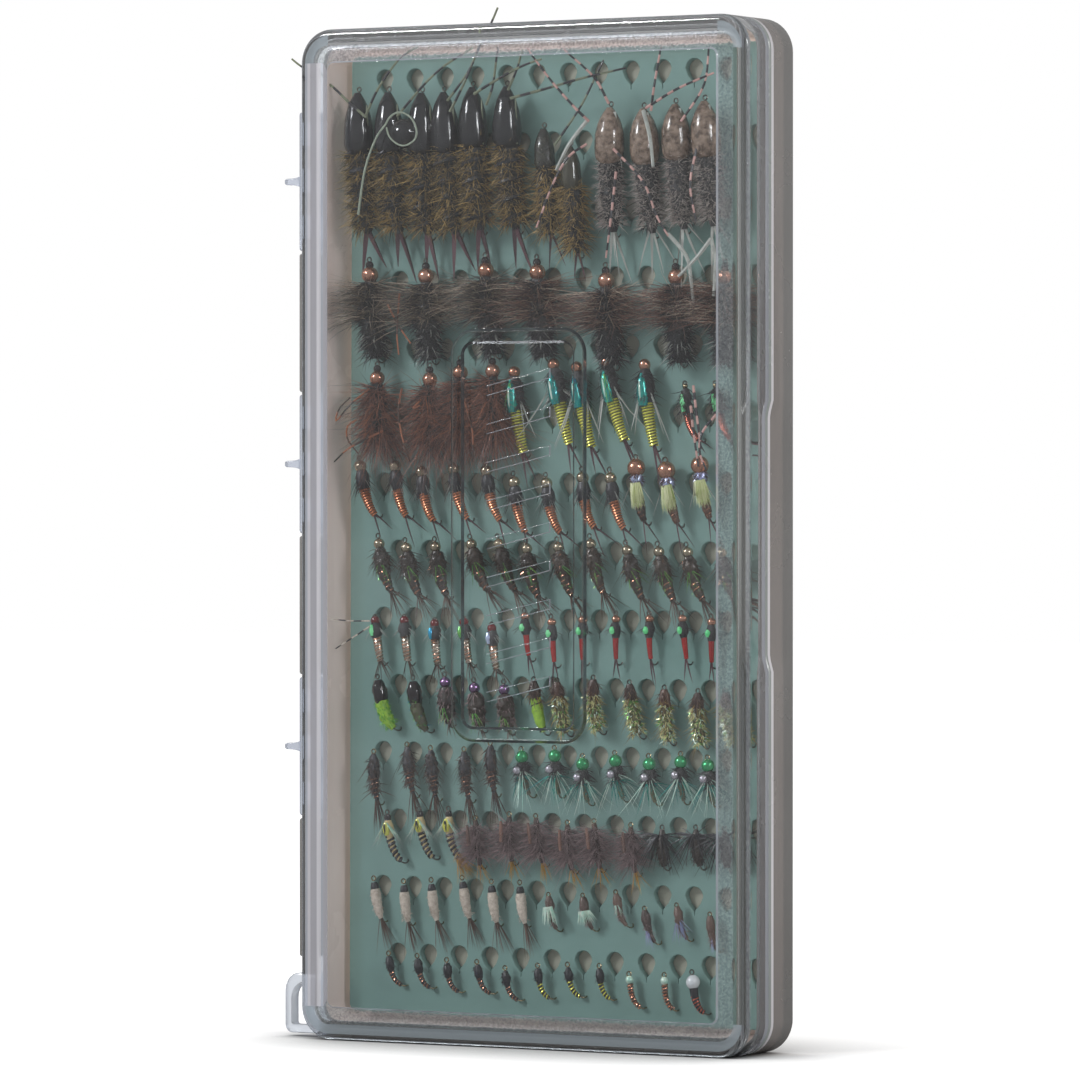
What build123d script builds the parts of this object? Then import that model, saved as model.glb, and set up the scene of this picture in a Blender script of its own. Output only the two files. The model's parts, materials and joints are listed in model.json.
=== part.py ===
from build123d import *

import os
from collections import namedtuple
from math import atan, cos, degrees, pi, sin

# Pocket fly box, standing on a short end. A clear hinged lid closes over a shallow tray,
# and a slit silicone mat in the tray holds rows of tied flies by their hooks.
# X runs across the case with the hinge at -X, Y from the lid's face to the tray's back, Z up.
# All sizes are in millimetres.

# Case
CASE_WIDTH = 91.0
CASE_HEIGHT = 180.0
CASE_DEPTH = 18.0
LID_DEPTH = 8.5
CORNER_RADIUS = 6.0
RIM_CHAMFER = 0.3

# Lid
LID_WALL = 2.2
LID_PANEL = 1.8
LID_EDGE_FILLET = 1.2
LID_INNER_CHAMFER = 1.6
WINDOW_BORDER = 5.8
WINDOW_STEP = 0.35
WINDOW_CORNER = 1.5
PLAQUE_WIDTH = 27.5
PLAQUE_HEIGHT = 72.6
PLAQUE_CORNER = 4.6
PLAQUE_FRAME = 2.7
PLAQUE_STEP = 0.35
GRIP_BAR_COUNT = 9
GRIP_BAR_LENGTH = 13.0
GRIP_BAR_WIDTH = 1.8
GRIP_BAR_SLANT = 3.0
GRIP_BAR_RISE = 0.2

# Tray
TRAY_WALL = 2.6
TRAY_FLOOR = 2.3
TRAY_EDGE_CHAMFER = 1.2

# Rim: the tray's tongue stands inside a rebate in the lid's wall
TONGUE_HEIGHT = 2.5
TONGUE_THICKNESS = 1.0
TONGUE_CLEARANCE = 0.15
SNAP_BEAD_LENGTH = 14.0
SNAP_BEAD_WIDTH = 1.0
SNAP_BEAD_RISE = 0.3
SNAP_BEAD_OFFSET = 52.0
SNAP_BEAD_CLEARANCE = 0.12

# Thumb scallop in the opening side
SCALLOP_LENGTH = 47.0
SCALLOP_WIDTH = 8.0
SCALLOP_DEPTH = 0.7
SCALLOP_TAPER = 4.0
SCALLOP_FLOOR_WIDTH = 3.0
SCALLOP_OVERCUT = 1.0

# Hinge
KNUCKLE_COUNT = 6
HINGE_LENGTH = 152.0
KNUCKLE_GAP = 0.5
KNUCKLE_RADIUS = 2.1
BARREL_CLEARANCE = 0.3
GUSSETS_PER_KNUCKLE = 3
GUSSET_LENGTH = 4.4
PARTING_CLEARANCE = 0.15
PIN_RADIUS = 0.9
PIN_SEAT_CLEARANCE = 0.02
PIN_RUNNING_CLEARANCE = 0.06
PIN_END_WALL = 2.0
PIN_RECESS = 0.5
STOP_REACH = 4.6
STOP_THICKNESS = 1.15
STOP_ROOT_THICKNESS = 2.0
STOP_TIP_CHAMFER = 0.35
STOP_DEPTH = 1.7

# Lanyard eye at the hinge side's lower corner
EYE_REACH = 6.5
EYE_BOTTOM = 0.6
EYE_TOP = 11.4
EYE_BAR = 1.5
EYE_THICKNESS = 2.5
EYE_CORNER = 3.0
EYE_WALL_WEB = 0.5

# Mat
MAT_THICKNESS = 4.0
MAT_CORNER = 1.5
MAT_LEFT_GAP = 1.4
MAT_RIGHT_GAP = 0.4
MAT_END_GAP = 1.4
MAT_FLOOR_CLEARANCE = 0.02
ROW_COUNT = 14
COLUMN_COUNT = 12
TOP_HOLE_INSET = 4.3
BOTTOM_HOLE_INSET = 10.8
LEFT_HOLE_INSET = 7.1
RIGHT_HOLE_INSET = 3.1
HOLE_WIDTH = 3.5
HOLE_CROWN_STEPS = 3
HOLE_TIP_DROP = 3.0

# Flies
FLY_CLEARANCE = 0.3
FLY_MIDDLE_SHARE = 0.4
FLY_SIDES = 6
SMALL_FLY_SIDES = 5

# Where the main faces and lines of the case lie
FRONT_Y = -CASE_DEPTH / 2
BACK_Y = CASE_DEPTH / 2
PARTING_Y = FRONT_Y + LID_DEPTH
WINDOW_Y = FRONT_Y + PLAQUE_STEP
BORDER_Y = WINDOW_Y + WINDOW_STEP
LID_INNER_Y = WINDOW_Y + LID_PANEL
FLOOR_Y = BACK_Y - TRAY_FLOOR
MID_Z = CASE_HEIGHT / 2
HINGE_X = -(CASE_WIDTH / 2 + KNUCKLE_RADIUS + BARREL_CLEARANCE)
HINGE_BOTTOM_Z = MID_Z - HINGE_LENGTH / 2
KNUCKLE_PITCH = HINGE_LENGTH / KNUCKLE_COUNT
MAT_LEFT_X = -CASE_WIDTH / 2 + TRAY_WALL + MAT_LEFT_GAP
MAT_RIGHT_X = CASE_WIDTH / 2 - TRAY_WALL - MAT_RIGHT_GAP
MAT_TOP_Z = CASE_HEIGHT - TRAY_WALL - MAT_END_GAP
MAT_WIDTH = MAT_RIGHT_X - MAT_LEFT_X
MAT_HEIGHT = 2 * (MAT_TOP_Z - MID_Z)
MAT_BACK_Y = FLOOR_Y - MAT_FLOOR_CLEARANCE
MAT_FRONT_Y = MAT_BACK_Y - MAT_THICKNESS
ROW_PITCH = (MAT_HEIGHT - TOP_HOLE_INSET - BOTTOM_HOLE_INSET) / (ROW_COUNT - 1)
COLUMN_PITCH = (MAT_WIDTH - LEFT_HOLE_INSET - RIGHT_HOLE_INSET) / (COLUMN_COUNT - 0.5)

# One line for each pattern of fly: the mat's row and columns it is hooked in, how long it is,
# how thick its head, body and tail are (as radii), how far its head lies above the hole's
# middle, and how many sides its body has.
FlyPattern = namedtuple("FlyPattern", "node row columns length head body tail rise sides")
FLY_PATTERNS = [
    FlyPattern("stoneflies_dark", 2, range(0, 6), 26.0, 1.6, 2.4, 1.2, 21.0, FLY_SIDES),
    FlyPattern("stonefly_olive", 2, range(6, 8), 19.0, 1.3, 2.3, 1.0, 14.0, FLY_SIDES),
    FlyPattern("stoneflies_tan", 2, range(8, 12), 25.0, 1.5, 2.4, 1.2, 18.5, FLY_SIDES),
    FlyPattern("leech_nymphs", 3, (0, 1, 3, 5, 7, 9, 11), 14.0, 1.3, 2.3, 1.0, 1.0, FLY_SIDES),
    FlyPattern("rust_buggers", 5, range(0, 4), 13.0, 1.3, 2.3, 1.0, 6.5, FLY_SIDES),
    FlyPattern("flash_wire_nymphs", 5, range(4, 9), 13.5, 0.9, 1.5, 0.5, 5.5, FLY_SIDES),
    FlyPattern("red_wire_nymphs", 5, range(9, 11), 9.0, 0.8, 1.2, 0.4, 2.5, SMALL_FLY_SIDES),
    FlyPattern("orange_wire_nymphs", 6, range(0, 9), 10.5, 1.0, 1.5, 0.4, 3.0, SMALL_FLY_SIDES),
    FlyPattern("tuft_nymphs", 6, range(9, 12), 9.5, 1.2, 1.6, 0.5, 3.0, SMALL_FLY_SIDES),
    FlyPattern("peacock_nymphs", 7, range(0, 12), 9.5, 0.9, 1.4, 0.4, 1.0, SMALL_FLY_SIDES),
    FlyPattern("silver_rib_nymphs", 8, range(0, 5), 7.5, 0.8, 1.2, 0.3, 0.0, SMALL_FLY_SIDES),
    FlyPattern("red_body_nymphs", 8, range(5, 12), 8.0, 0.9, 1.1, 0.3, 0.0, SMALL_FLY_SIDES),
    FlyPattern("grub_caddis", 9, range(0, 2), 8.5, 1.0, 1.6, 0.6, 1.0, SMALL_FLY_SIDES),
    FlyPattern("purple_bead_nymphs", 9, range(2, 5), 7.5, 0.8, 1.2, 0.4, 0.5, SMALL_FLY_SIDES),
    FlyPattern("olive_caddis", 9, range(5, 12), 9.0, 0.9, 1.5, 0.5, 0.0, SMALL_FLY_SIDES),
    FlyPattern("pheasant_nymphs", 10, range(0, 5), 8.5, 0.7, 1.3, 0.3, 0.5, SMALL_FLY_SIDES),
    FlyPattern("green_bead_nymphs", 10, range(5, 12), 6.5, 0.9, 1.1, 0.3, 0.0, SMALL_FLY_SIDES),
    FlyPattern("banded_emergers", 11, range(0, 3), 8.5, 1.0, 1.1, 0.4, -1.0, SMALL_FLY_SIDES),
    FlyPattern("fuzzy_emergers", 11, range(3, 9), 8.0, 1.0, 2.0, 0.8, 1.0, SMALL_FLY_SIDES),
    FlyPattern("black_spiders", 11, range(9, 12), 6.0, 0.7, 1.2, 0.4, 0.0, SMALL_FLY_SIDES),
    FlyPattern("cream_nymphs", 12, range(0, 6), 7.5, 0.7, 1.2, 0.4, 0.5, SMALL_FLY_SIDES),
    FlyPattern("flash_midges", 12, range(6, 12), 6.5, 0.8, 1.1, 0.3, -0.5, SMALL_FLY_SIDES),
    FlyPattern("ribbed_midges", 13, range(0, 8), 6.5, 0.8, 0.9, 0.3, -0.5, SMALL_FLY_SIDES),
    FlyPattern("copper_midges", 13, range(8, 10), 6.5, 0.9, 0.9, 0.3, -2.0, SMALL_FLY_SIDES),
    FlyPattern("white_bead_midge", 13, range(10, 11), 6.5, 1.2, 0.9, 0.3, -2.0, SMALL_FLY_SIDES),
]


def slab(inset, corner, y_front, y_back):
    """The case's outline drawn in by inset all round, between two depths."""
    outline = RectangleRounded(CASE_WIDTH - 2 * inset, CASE_HEIGHT - 2 * inset, corner)
    return extrude(Plane.XZ.offset(-y_back) * Pos(0, MID_Z) * outline, y_back - y_front)


def block(x_low, x_high, y_low, y_high, z_low, z_high):
    """A box between two corners."""
    size = (x_high - x_low, y_high - y_low, z_high - z_low)
    middle = ((x_high + x_low) / 2, (y_high + y_low) / 2, (z_high + z_low) / 2)
    return Pos(*middle) * Box(*size)


def front_edges(solid):
    """The edges that lie in the solid's foremost plane, towards -Y."""
    return solid.edges().group_by(Axis.Y)[0]


def back_edges(solid):
    """The edges that lie in the solid's rearmost plane, towards +Y."""
    return solid.edges().group_by(Axis.Y)[-1]


# Rim


def tongue():
    """The lip that stands up from the tray's rim, with a snap bead above and below the scallop."""
    outer_inset = TRAY_WALL - TONGUE_THICKNESS
    outer = slab(outer_inset, CORNER_RADIUS - outer_inset, PARTING_Y - TONGUE_HEIGHT, PARTING_Y)
    inner = slab(TRAY_WALL, CORNER_RADIUS - TRAY_WALL, PARTING_Y - TONGUE_HEIGHT, PARTING_Y)
    return outer - inner + snap_beads(SNAP_BEAD_RISE, SNAP_BEAD_WIDTH, SNAP_BEAD_LENGTH)


def snap_beads(rise, width, length):
    """Two bevelled ridges on the tongue's face at the opening side, or the cutters for their grooves."""
    face_x = CASE_WIDTH / 2 - TRAY_WALL + TONGUE_THICKNESS
    root_x, top_x = face_x - TONGUE_CLEARANCE, face_x + rise
    middle_y = PARTING_Y - TONGUE_HEIGHT / 2
    profile = Polygon(
        (root_x, middle_y - width / 2),
        (top_x, middle_y - width / 4),
        (top_x, middle_y + width / 4),
        (root_x, middle_y + width / 2),
        align=None,
    )
    places = [MID_Z - SNAP_BEAD_OFFSET, MID_Z + SNAP_BEAD_OFFSET]
    return [extrude(Pos(0, 0, z - length / 2) * profile, length) for z in places]


def rebate():
    """The cut in the lid's wall that the tongue stands in, with the grooves for its beads."""
    inset = TRAY_WALL - TONGUE_THICKNESS - TONGUE_CLEARANCE
    cut = slab(inset, CORNER_RADIUS - inset, PARTING_Y - TONGUE_HEIGHT - TONGUE_CLEARANCE, PARTING_Y)
    grooves = snap_beads(
        SNAP_BEAD_RISE + SNAP_BEAD_CLEARANCE,
        SNAP_BEAD_WIDTH + 2 * SNAP_BEAD_CLEARANCE,
        SNAP_BEAD_LENGTH + 2 * SNAP_BEAD_CLEARANCE,
    )
    return cut + grooves


def thumb_scallop():
    """The cutter for the long hexagonal hollow that a thumb opens the case by."""
    side = Plane.YZ.offset(CASE_WIDTH / 2) * Pos(PARTING_Y, MID_Z)
    mouth = side * hexagon(SCALLOP_LENGTH, SCALLOP_WIDTH, SCALLOP_TAPER)
    slope = degrees(atan((SCALLOP_WIDTH - SCALLOP_FLOOR_WIDTH) / 2 / SCALLOP_DEPTH))
    hollow = extrude(mouth, -SCALLOP_DEPTH, taper=slope)
    return hollow + extrude(mouth, SCALLOP_OVERCUT)


def hexagon(length, width, taper):
    """A long hexagon with its points at the two ends of its length."""
    half_length, half_width, shoulder = length / 2, width / 2, length / 2 - taper
    return Polygon(
        (0, half_length),
        (-half_width, shoulder),
        (-half_width, -shoulder),
        (0, -half_length),
        (half_width, -shoulder),
        (half_width, shoulder),
        align=None,
    )


# Hinge


def knuckle_spans(first):
    """The lower and upper ends of every second knuckle, counted from the bottom."""
    starts = [HINGE_BOTTOM_Z + index * KNUCKLE_PITCH for index in range(first, KNUCKLE_COUNT, 2)]
    return [(z + KNUCKLE_GAP / 2, z + KNUCKLE_PITCH - KNUCKLE_GAP / 2) for z in starts]


def knuckle(z_low, z_high, side):
    """A hinge barrel and the gussets that tie it to a wall on one side of the parting."""
    barrel = Pos(HINGE_X, PARTING_Y, (z_low + z_high) / 2) * Cylinder(KNUCKLE_RADIUS, z_high - z_low)
    gusset_pitch = (z_high - z_low) / GUSSETS_PER_KNUCKLE
    near, far = sorted((PARTING_Y + side * PARTING_CLEARANCE, PARTING_Y + side * KNUCKLE_RADIUS))
    wall_x = -CASE_WIDTH / 2 + LID_EDGE_FILLET / 2
    for index in range(GUSSETS_PER_KNUCKLE):
        z = z_low + (index + 0.5) * gusset_pitch
        barrel += block(HINGE_X, wall_x, near, far, z - GUSSET_LENGTH / 2, z + GUSSET_LENGTH / 2)
    return barrel


def stop_tooth(z):
    """A tapered tooth on a lid knuckle. It meets the tray's side wall when the lid is fully open."""
    tip_x = HINGE_X - STOP_REACH
    root_x = HINGE_X - PIN_RADIUS - PIN_RUNNING_CLEARANCE
    half_tip, half_root = STOP_THICKNESS / 2, STOP_ROOT_THICKNESS / 2
    profile = Polygon(
        (tip_x, z - half_tip), (root_x, z - half_root), (root_x, z + half_root), (tip_x, z + half_tip), align=None
    )
    profile = chamfer(profile.vertices().group_by(Axis.X)[0], STOP_TIP_CHAMFER)
    return extrude(Plane.XZ.offset(-PARTING_Y) * profile, STOP_DEPTH)


def pin_bore(z_low, z_high, clearance):
    """The cutter for the hinge pin's hole."""
    middle = Pos(HINGE_X, PARTING_Y, (z_low + z_high) / 2)
    return middle * Cylinder(PIN_RADIUS + clearance, z_high - z_low)


def lanyard_eye():
    """The D-shaped loop at the lid's lower corner on the hinge side."""
    wall_x = -CASE_WIDTH / 2
    outer_x = wall_x - EYE_REACH
    inside_x = wall_x + CORNER_RADIUS / 2
    plane = Plane.XZ.offset(-(PARTING_Y - PARTING_CLEARANCE))
    outer = Polygon(
        (outer_x, EYE_BOTTOM),
        (inside_x, EYE_BOTTOM),
        (wall_x + LID_EDGE_FILLET, CORNER_RADIUS),
        (wall_x + LID_EDGE_FILLET, EYE_TOP),
        (outer_x + EYE_CORNER, EYE_TOP),
        (outer_x, EYE_TOP - EYE_CORNER),
        align=None,
    )
    outer = fillet(outer.vertices().group_by(Axis.X)[0], EYE_CORNER / 2)
    hole_low = (outer_x + EYE_BAR, EYE_BOTTOM + EYE_BAR)
    hole_high = (wall_x - EYE_WALL_WEB, EYE_TOP - EYE_BAR)
    hole = Polygon(
        hole_low,
        (hole_high[0], hole_low[1]),
        hole_high,
        (hole_low[0] + EYE_CORNER, hole_high[1]),
        (hole_low[0], hole_high[1] - EYE_CORNER),
        align=None,
    )
    hole = fillet(hole.vertices().group_by(Axis.X)[0], EYE_CORNER / 6)
    return extrude(plane * (outer - hole), EYE_THICKNESS)


# Lid


def lid_shell():
    """The lid's open shell: border, raised window field, walls and rim."""
    shell = slab(0, CORNER_RADIUS, BORDER_Y, PARTING_Y)
    shell = fillet(front_edges(shell), LID_EDGE_FILLET)
    shell = chamfer(back_edges(shell), RIM_CHAMFER)
    field = slab(WINDOW_BORDER, WINDOW_CORNER, WINDOW_Y, LID_INNER_Y)
    shell += chamfer(front_edges(field), WINDOW_STEP * 0.9)
    hollow = slab(LID_WALL, CORNER_RADIUS - LID_WALL, LID_INNER_Y, PARTING_Y)
    return shell - chamfer(front_edges(hollow), LID_INNER_CHAMFER)


def plaque():
    """The framed oblong in the middle of the window, with plain slanted grip bars in it."""
    plane = Plane.XZ.offset(-WINDOW_Y) * Pos(0, MID_Z)
    outer = RectangleRounded(PLAQUE_WIDTH, PLAQUE_HEIGHT, PLAQUE_CORNER)
    inner = RectangleRounded(
        PLAQUE_WIDTH - 2 * PLAQUE_FRAME, PLAQUE_HEIGHT - 2 * PLAQUE_FRAME, PLAQUE_CORNER - PLAQUE_FRAME
    )
    frame = extrude(plane * (outer - inner), PLAQUE_STEP)
    return chamfer(front_edges(frame), PLAQUE_STEP * 0.8) + grip_bars(plane)


def grip_bars(plane):
    """Evenly spaced slanted bars, low enough to stay behind the plaque's frame."""
    pitch = (PLAQUE_HEIGHT - 2 * PLAQUE_FRAME) / (GRIP_BAR_COUNT + 1)
    half_length, half_width, half_slant = GRIP_BAR_LENGTH / 2, GRIP_BAR_WIDTH / 2, GRIP_BAR_SLANT / 2
    bar = Polygon(
        (-half_length, -half_width - half_slant),
        (half_length, -half_width + half_slant),
        (half_length, half_width + half_slant),
        (-half_length, half_width - half_slant),
        align=None,
    )
    heights = [(index - (GRIP_BAR_COUNT - 1) / 2) * pitch for index in range(GRIP_BAR_COUNT)]
    return [extrude(plane * Pos(0, height) * bar, GRIP_BAR_RISE) for height in heights]


def lid_cover():
    """The whole clear moulding: shell, plaque, three knuckles with their teeth, and the eye."""
    lid = lid_shell() - rebate() + plaque()
    for z_low, z_high in knuckle_spans(1):
        lid += knuckle(z_low, z_high, -1)
        lid += stop_tooth((z_low + z_high) / 2)
    lid += lanyard_eye()
    lid -= pin_bore(HINGE_BOTTOM_Z, HINGE_BOTTOM_Z + HINGE_LENGTH, PIN_RUNNING_CLEARANCE)
    return lid - thumb_scallop()


# Tray


def base_tray():
    """The tray: floor, walls, tongue and three knuckles."""
    tray = slab(0, CORNER_RADIUS, PARTING_Y, BACK_Y)
    tray = chamfer(back_edges(tray), TRAY_EDGE_CHAMFER)
    tray = chamfer(front_edges(tray), RIM_CHAMFER) + tongue()
    tray -= slab(TRAY_WALL, CORNER_RADIUS - TRAY_WALL, PARTING_Y - TONGUE_HEIGHT, FLOOR_Y)
    for z_low, z_high in knuckle_spans(0):
        tray += knuckle(z_low, z_high, 1)
    bore_bottom = HINGE_BOTTOM_Z + PIN_END_WALL
    tray -= pin_bore(bore_bottom, HINGE_BOTTOM_Z + HINGE_LENGTH, PIN_SEAT_CLEARANCE)
    return tray - thumb_scallop()


def hinge_pin():
    """The plain rod through all the knuckles, blind at its lower end."""
    z_low = HINGE_BOTTOM_Z + PIN_END_WALL
    z_high = HINGE_BOTTOM_Z + HINGE_LENGTH - PIN_RECESS
    return pin_bore(z_low, z_high, 0)


# Mat


def hole_place(row, column):
    """The X and Z of a hole's widest line. Every second row is set over by half a pitch."""
    x = MAT_LEFT_X + LEFT_HOLE_INSET + (column + 0.5 * (row % 2)) * COLUMN_PITCH
    return x, MAT_TOP_Z - TOP_HOLE_INSET - row * ROW_PITCH


def hole_outline():
    """A drop-shaped hole: a faceted crown above its widest line, and straight sides down to the slit."""
    turns = [pi * step / HOLE_CROWN_STEPS for step in range(HOLE_CROWN_STEPS + 1)]
    crown = [(HOLE_WIDTH / 2 * cos(turn), HOLE_WIDTH / 2 * sin(turn)) for turn in turns]
    return Wire.make_polygon([*crown, (0, -HOLE_TIP_DROP)])


def slit_mat():
    """The silicone mat with its staggered rows of drop-shaped holes."""
    middle_x = (MAT_LEFT_X + MAT_RIGHT_X) / 2
    sheet = Pos(middle_x, MID_Z) * RectangleRounded(MAT_WIDTH, MAT_HEIGHT, MAT_CORNER)
    drop = hole_outline()
    drops = [
        drop.moved(Location((*hole_place(row, column), 0)))
        for row in range(ROW_COUNT)
        for column in range(COLUMN_COUNT)
    ]
    face = Face(sheet.face().outer_wire(), drops)
    return extrude(Plane.XZ.offset(-MAT_BACK_Y) * face, MAT_THICKNESS)


# Flies


def ring(pattern, column, drop, radius):
    """The corners of a fly's body at one distance below the top of its head."""
    x, hole_z = hole_place(pattern.row, column)
    y = MAT_FRONT_Y - FLY_CLEARANCE - pattern.body
    turns = [2 * pi * (side + 0.5) / pattern.sides for side in range(pattern.sides)]
    z = hole_z + pattern.rise - drop
    return [(x + radius * cos(turn), y + radius * sin(turn), z) for turn in turns]


def fly(pattern, column):
    """One tied fly, head up: a flat-sided body that swells from the head and tapers to the tail."""
    rings = [
        ring(pattern, column, 0, pattern.head),
        ring(pattern, column, pattern.length * FLY_MIDDLE_SHARE, pattern.body),
        ring(pattern, column, pattern.length, pattern.tail),
    ]
    outlines = [rings[0], rings[-1]]
    for upper, lower in zip(rings, rings[1:]):
        for side in range(pattern.sides):
            after = (side + 1) % pattern.sides
            outlines.append([upper[side], upper[after], lower[after], lower[side]])
    return Solid(Shell([Face(Wire.make_polygon(corners)) for corners in outlines]))


def fly_group(pattern):
    """All the flies tied to one pattern."""
    return Compound(children=[fly(pattern, column) for column in pattern.columns])


def main():
    """Writes one STEP file for each node."""
    os.makedirs("parts", exist_ok=True)
    nodes = {
        "lid_cover": lid_cover(),
        "base_tray": base_tray(),
        "hinge_pin": hinge_pin(),
        "slit_mat": slit_mat(),
    }
    nodes.update({pattern.node: fly_group(pattern) for pattern in FLY_PATTERNS})
    for name, shape in nodes.items():
        export_step(shape, os.path.join("parts", name + ".step"))


main()
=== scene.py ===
import json
import logging
import random
from collections.abc import Callable, Iterable, Sequence
from dataclasses import dataclass, field, replace
from enum import Enum
from math import cos, pi, radians, sin

import bmesh
import bpy
import numpy as np
from mathutils import Matrix, Vector

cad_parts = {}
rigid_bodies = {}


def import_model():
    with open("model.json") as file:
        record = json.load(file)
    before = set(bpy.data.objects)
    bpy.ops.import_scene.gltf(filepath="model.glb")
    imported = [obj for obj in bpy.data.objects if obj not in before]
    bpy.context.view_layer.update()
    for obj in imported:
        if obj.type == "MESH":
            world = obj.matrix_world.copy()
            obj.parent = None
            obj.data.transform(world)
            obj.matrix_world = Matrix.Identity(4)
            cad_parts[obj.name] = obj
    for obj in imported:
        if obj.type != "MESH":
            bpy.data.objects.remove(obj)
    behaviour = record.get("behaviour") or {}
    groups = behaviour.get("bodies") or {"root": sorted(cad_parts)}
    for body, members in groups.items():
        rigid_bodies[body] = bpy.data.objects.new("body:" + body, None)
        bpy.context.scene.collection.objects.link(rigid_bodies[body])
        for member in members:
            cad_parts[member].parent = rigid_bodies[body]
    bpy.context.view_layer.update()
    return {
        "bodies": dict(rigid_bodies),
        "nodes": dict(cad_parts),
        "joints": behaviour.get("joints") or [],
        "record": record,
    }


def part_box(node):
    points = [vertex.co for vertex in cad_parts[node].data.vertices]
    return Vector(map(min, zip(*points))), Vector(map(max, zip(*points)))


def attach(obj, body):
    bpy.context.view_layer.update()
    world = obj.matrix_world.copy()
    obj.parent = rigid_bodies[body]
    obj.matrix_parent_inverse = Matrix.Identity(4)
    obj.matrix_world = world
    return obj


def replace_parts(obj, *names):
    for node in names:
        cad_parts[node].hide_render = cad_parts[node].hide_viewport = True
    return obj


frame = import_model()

MM = 0.001
TAU = 2 * pi
RIGHT_ANGLE = pi / 2
TRAY = "tray"
LID = "lid"

Colour = tuple[float, float, float]
Point = tuple[float, float, float]
Ring = list[Vector]
Pairs = tuple[tuple[float, float], ...]
Node = bpy.types.Node
Socket = bpy.types.NodeSocket
Piece = bpy.types.Object
Array = np.ndarray

log = logging.getLogger("fly_box")


# Shader nodes

WHITE = (1.0, 1.0, 1.0)
MIX_SOCKETS = {"FLOAT": (0, 2, 3, 0), "RGBA": (0, 6, 7, 2)}


class Graph:
    """A shader tree that is laid node by node."""

    def __init__(self, tree: bpy.types.NodeTree) -> None:
        """Starts with a tree."""
        self.tree = tree

    def plug(self, target: Socket, value: object) -> None:
        """Gives an input a socket's link, a plain value or an opaque colour."""
        if isinstance(value, Socket):
            self.tree.links.new(value, target)
        else:
            target.default_value = (*value, 1) if isinstance(value, tuple) else value

    def feed(self, made: Node, **values: object) -> Node:
        """Sets a node's properties and its inputs by name.

        Args:
            made: The node.
            values: What each gets, with _ for the spaces in an input's name.

        Returns:
            The same node.
        """
        for name, value in values.items():
            if hasattr(made, name):
                setattr(made, name, value)
            else:
                self.plug(made.inputs[name.replace("_", " ")], value)
        return made

    def add(self, kind: str, **values: object) -> Node:
        """Adds a shader node of a kind, with its properties and inputs."""
        return self.feed(self.tree.nodes.new(f"ShaderNode{kind}"), **values)

    def plugged(self, made: Node, places: Sequence[int], operands: Sequence[object]) -> Node:
        """Gives the inputs in some places of a node their operands, and returns the node."""
        for place, operand in zip(places, operands):
            self.plug(made.inputs[place], operand)
        return made

    def math(self, operation: str, *operands: object) -> Socket:
        """Adds a Math node and returns its outcome."""
        return self.plugged(self.add("Math", operation=operation), range(3), operands).outputs[0]

    def mixed(self, kind: str, *operands: object) -> Socket:
        """Blends two numbers or colours, given after their factor, and returns the blend."""
        *places, outcome = MIX_SOCKETS[kind]
        return self.plugged(self.add("Mix", data_type=kind), places, operands).outputs[outcome]

    def finish(self, kind: str, output: str, *operands: Socket) -> None:
        """Joins shaders in a node of a kind, and feeds the tree's output with it."""
        made = self.plugged(self.add(kind), range(3), operands)
        self.feed(self.tree.nodes[output], Surface=made.outputs[0])


# Shared effects


def new_group(name: str, inputs: dict[str, object], outputs: Sequence[str]) -> tuple[Graph, Node, Node]:
    """Makes an empty shader group with its sockets.

    Args:
        name: The group's name.
        inputs: What each input has at first: a colour or a number.
        outputs: The outputs' names. Color is a colour, and the rest are numbers.

    Returns:
        The group's graph, its input node and its output node.
    """
    graph = Graph(bpy.data.node_groups.new(name, "ShaderNodeTree"))
    for label, default in inputs.items():
        kind = "NodeSocketColor" if isinstance(default, tuple) else "NodeSocketFloat"
        graph.plug(graph.tree.interface.new_socket(name=label, in_out="INPUT", socket_type=kind), default)
    for label in outputs:
        kind = "NodeSocketColor" if label == "Color" else "NodeSocketFloat"
        graph.tree.interface.new_socket(name=label, in_out="OUTPUT", socket_type=kind)
    return graph, graph.tree.nodes.new("NodeGroupInput"), graph.tree.nodes.new("NodeGroupOutput")


def strand_variation_group() -> bpy.types.NodeTree:
    """Makes a colour that differs from strand to strand and mottles along each one.

    Returns:
        The group.
    """
    graph, source, sink = new_group(
        "strand_variation",
        {"Base": (0.5, 0.5, 0.5), "Second": (0.2, 0.2, 0.2), "Strand Share": 0.6, "Mottle Scale": 900.0},
        ("Color", "Height", "Mask"),
    )
    given = source.outputs
    place = graph.add("TexCoord").outputs["Object"]
    noise = graph.add("TexNoise", Vector=place, Scale=given["Mottle Scale"], Detail=3.0, Roughness=0.6)
    height = noise.outputs["Fac"]
    spread = graph.add("MapRange", clamp=True, Value=height, From_Min=0.35, From_Max=0.65).outputs["Result"]
    strand = graph.add("NewGeometry").outputs["Random Per Island"]
    mask = graph.mixed("FLOAT", given["Strand Share"], spread, strand)
    colour = graph.mixed("RGBA", mask, given["Base"], given["Second"])
    graph.feed(sink, Color=colour, Height=height, Mask=mask)
    return graph.tree


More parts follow.
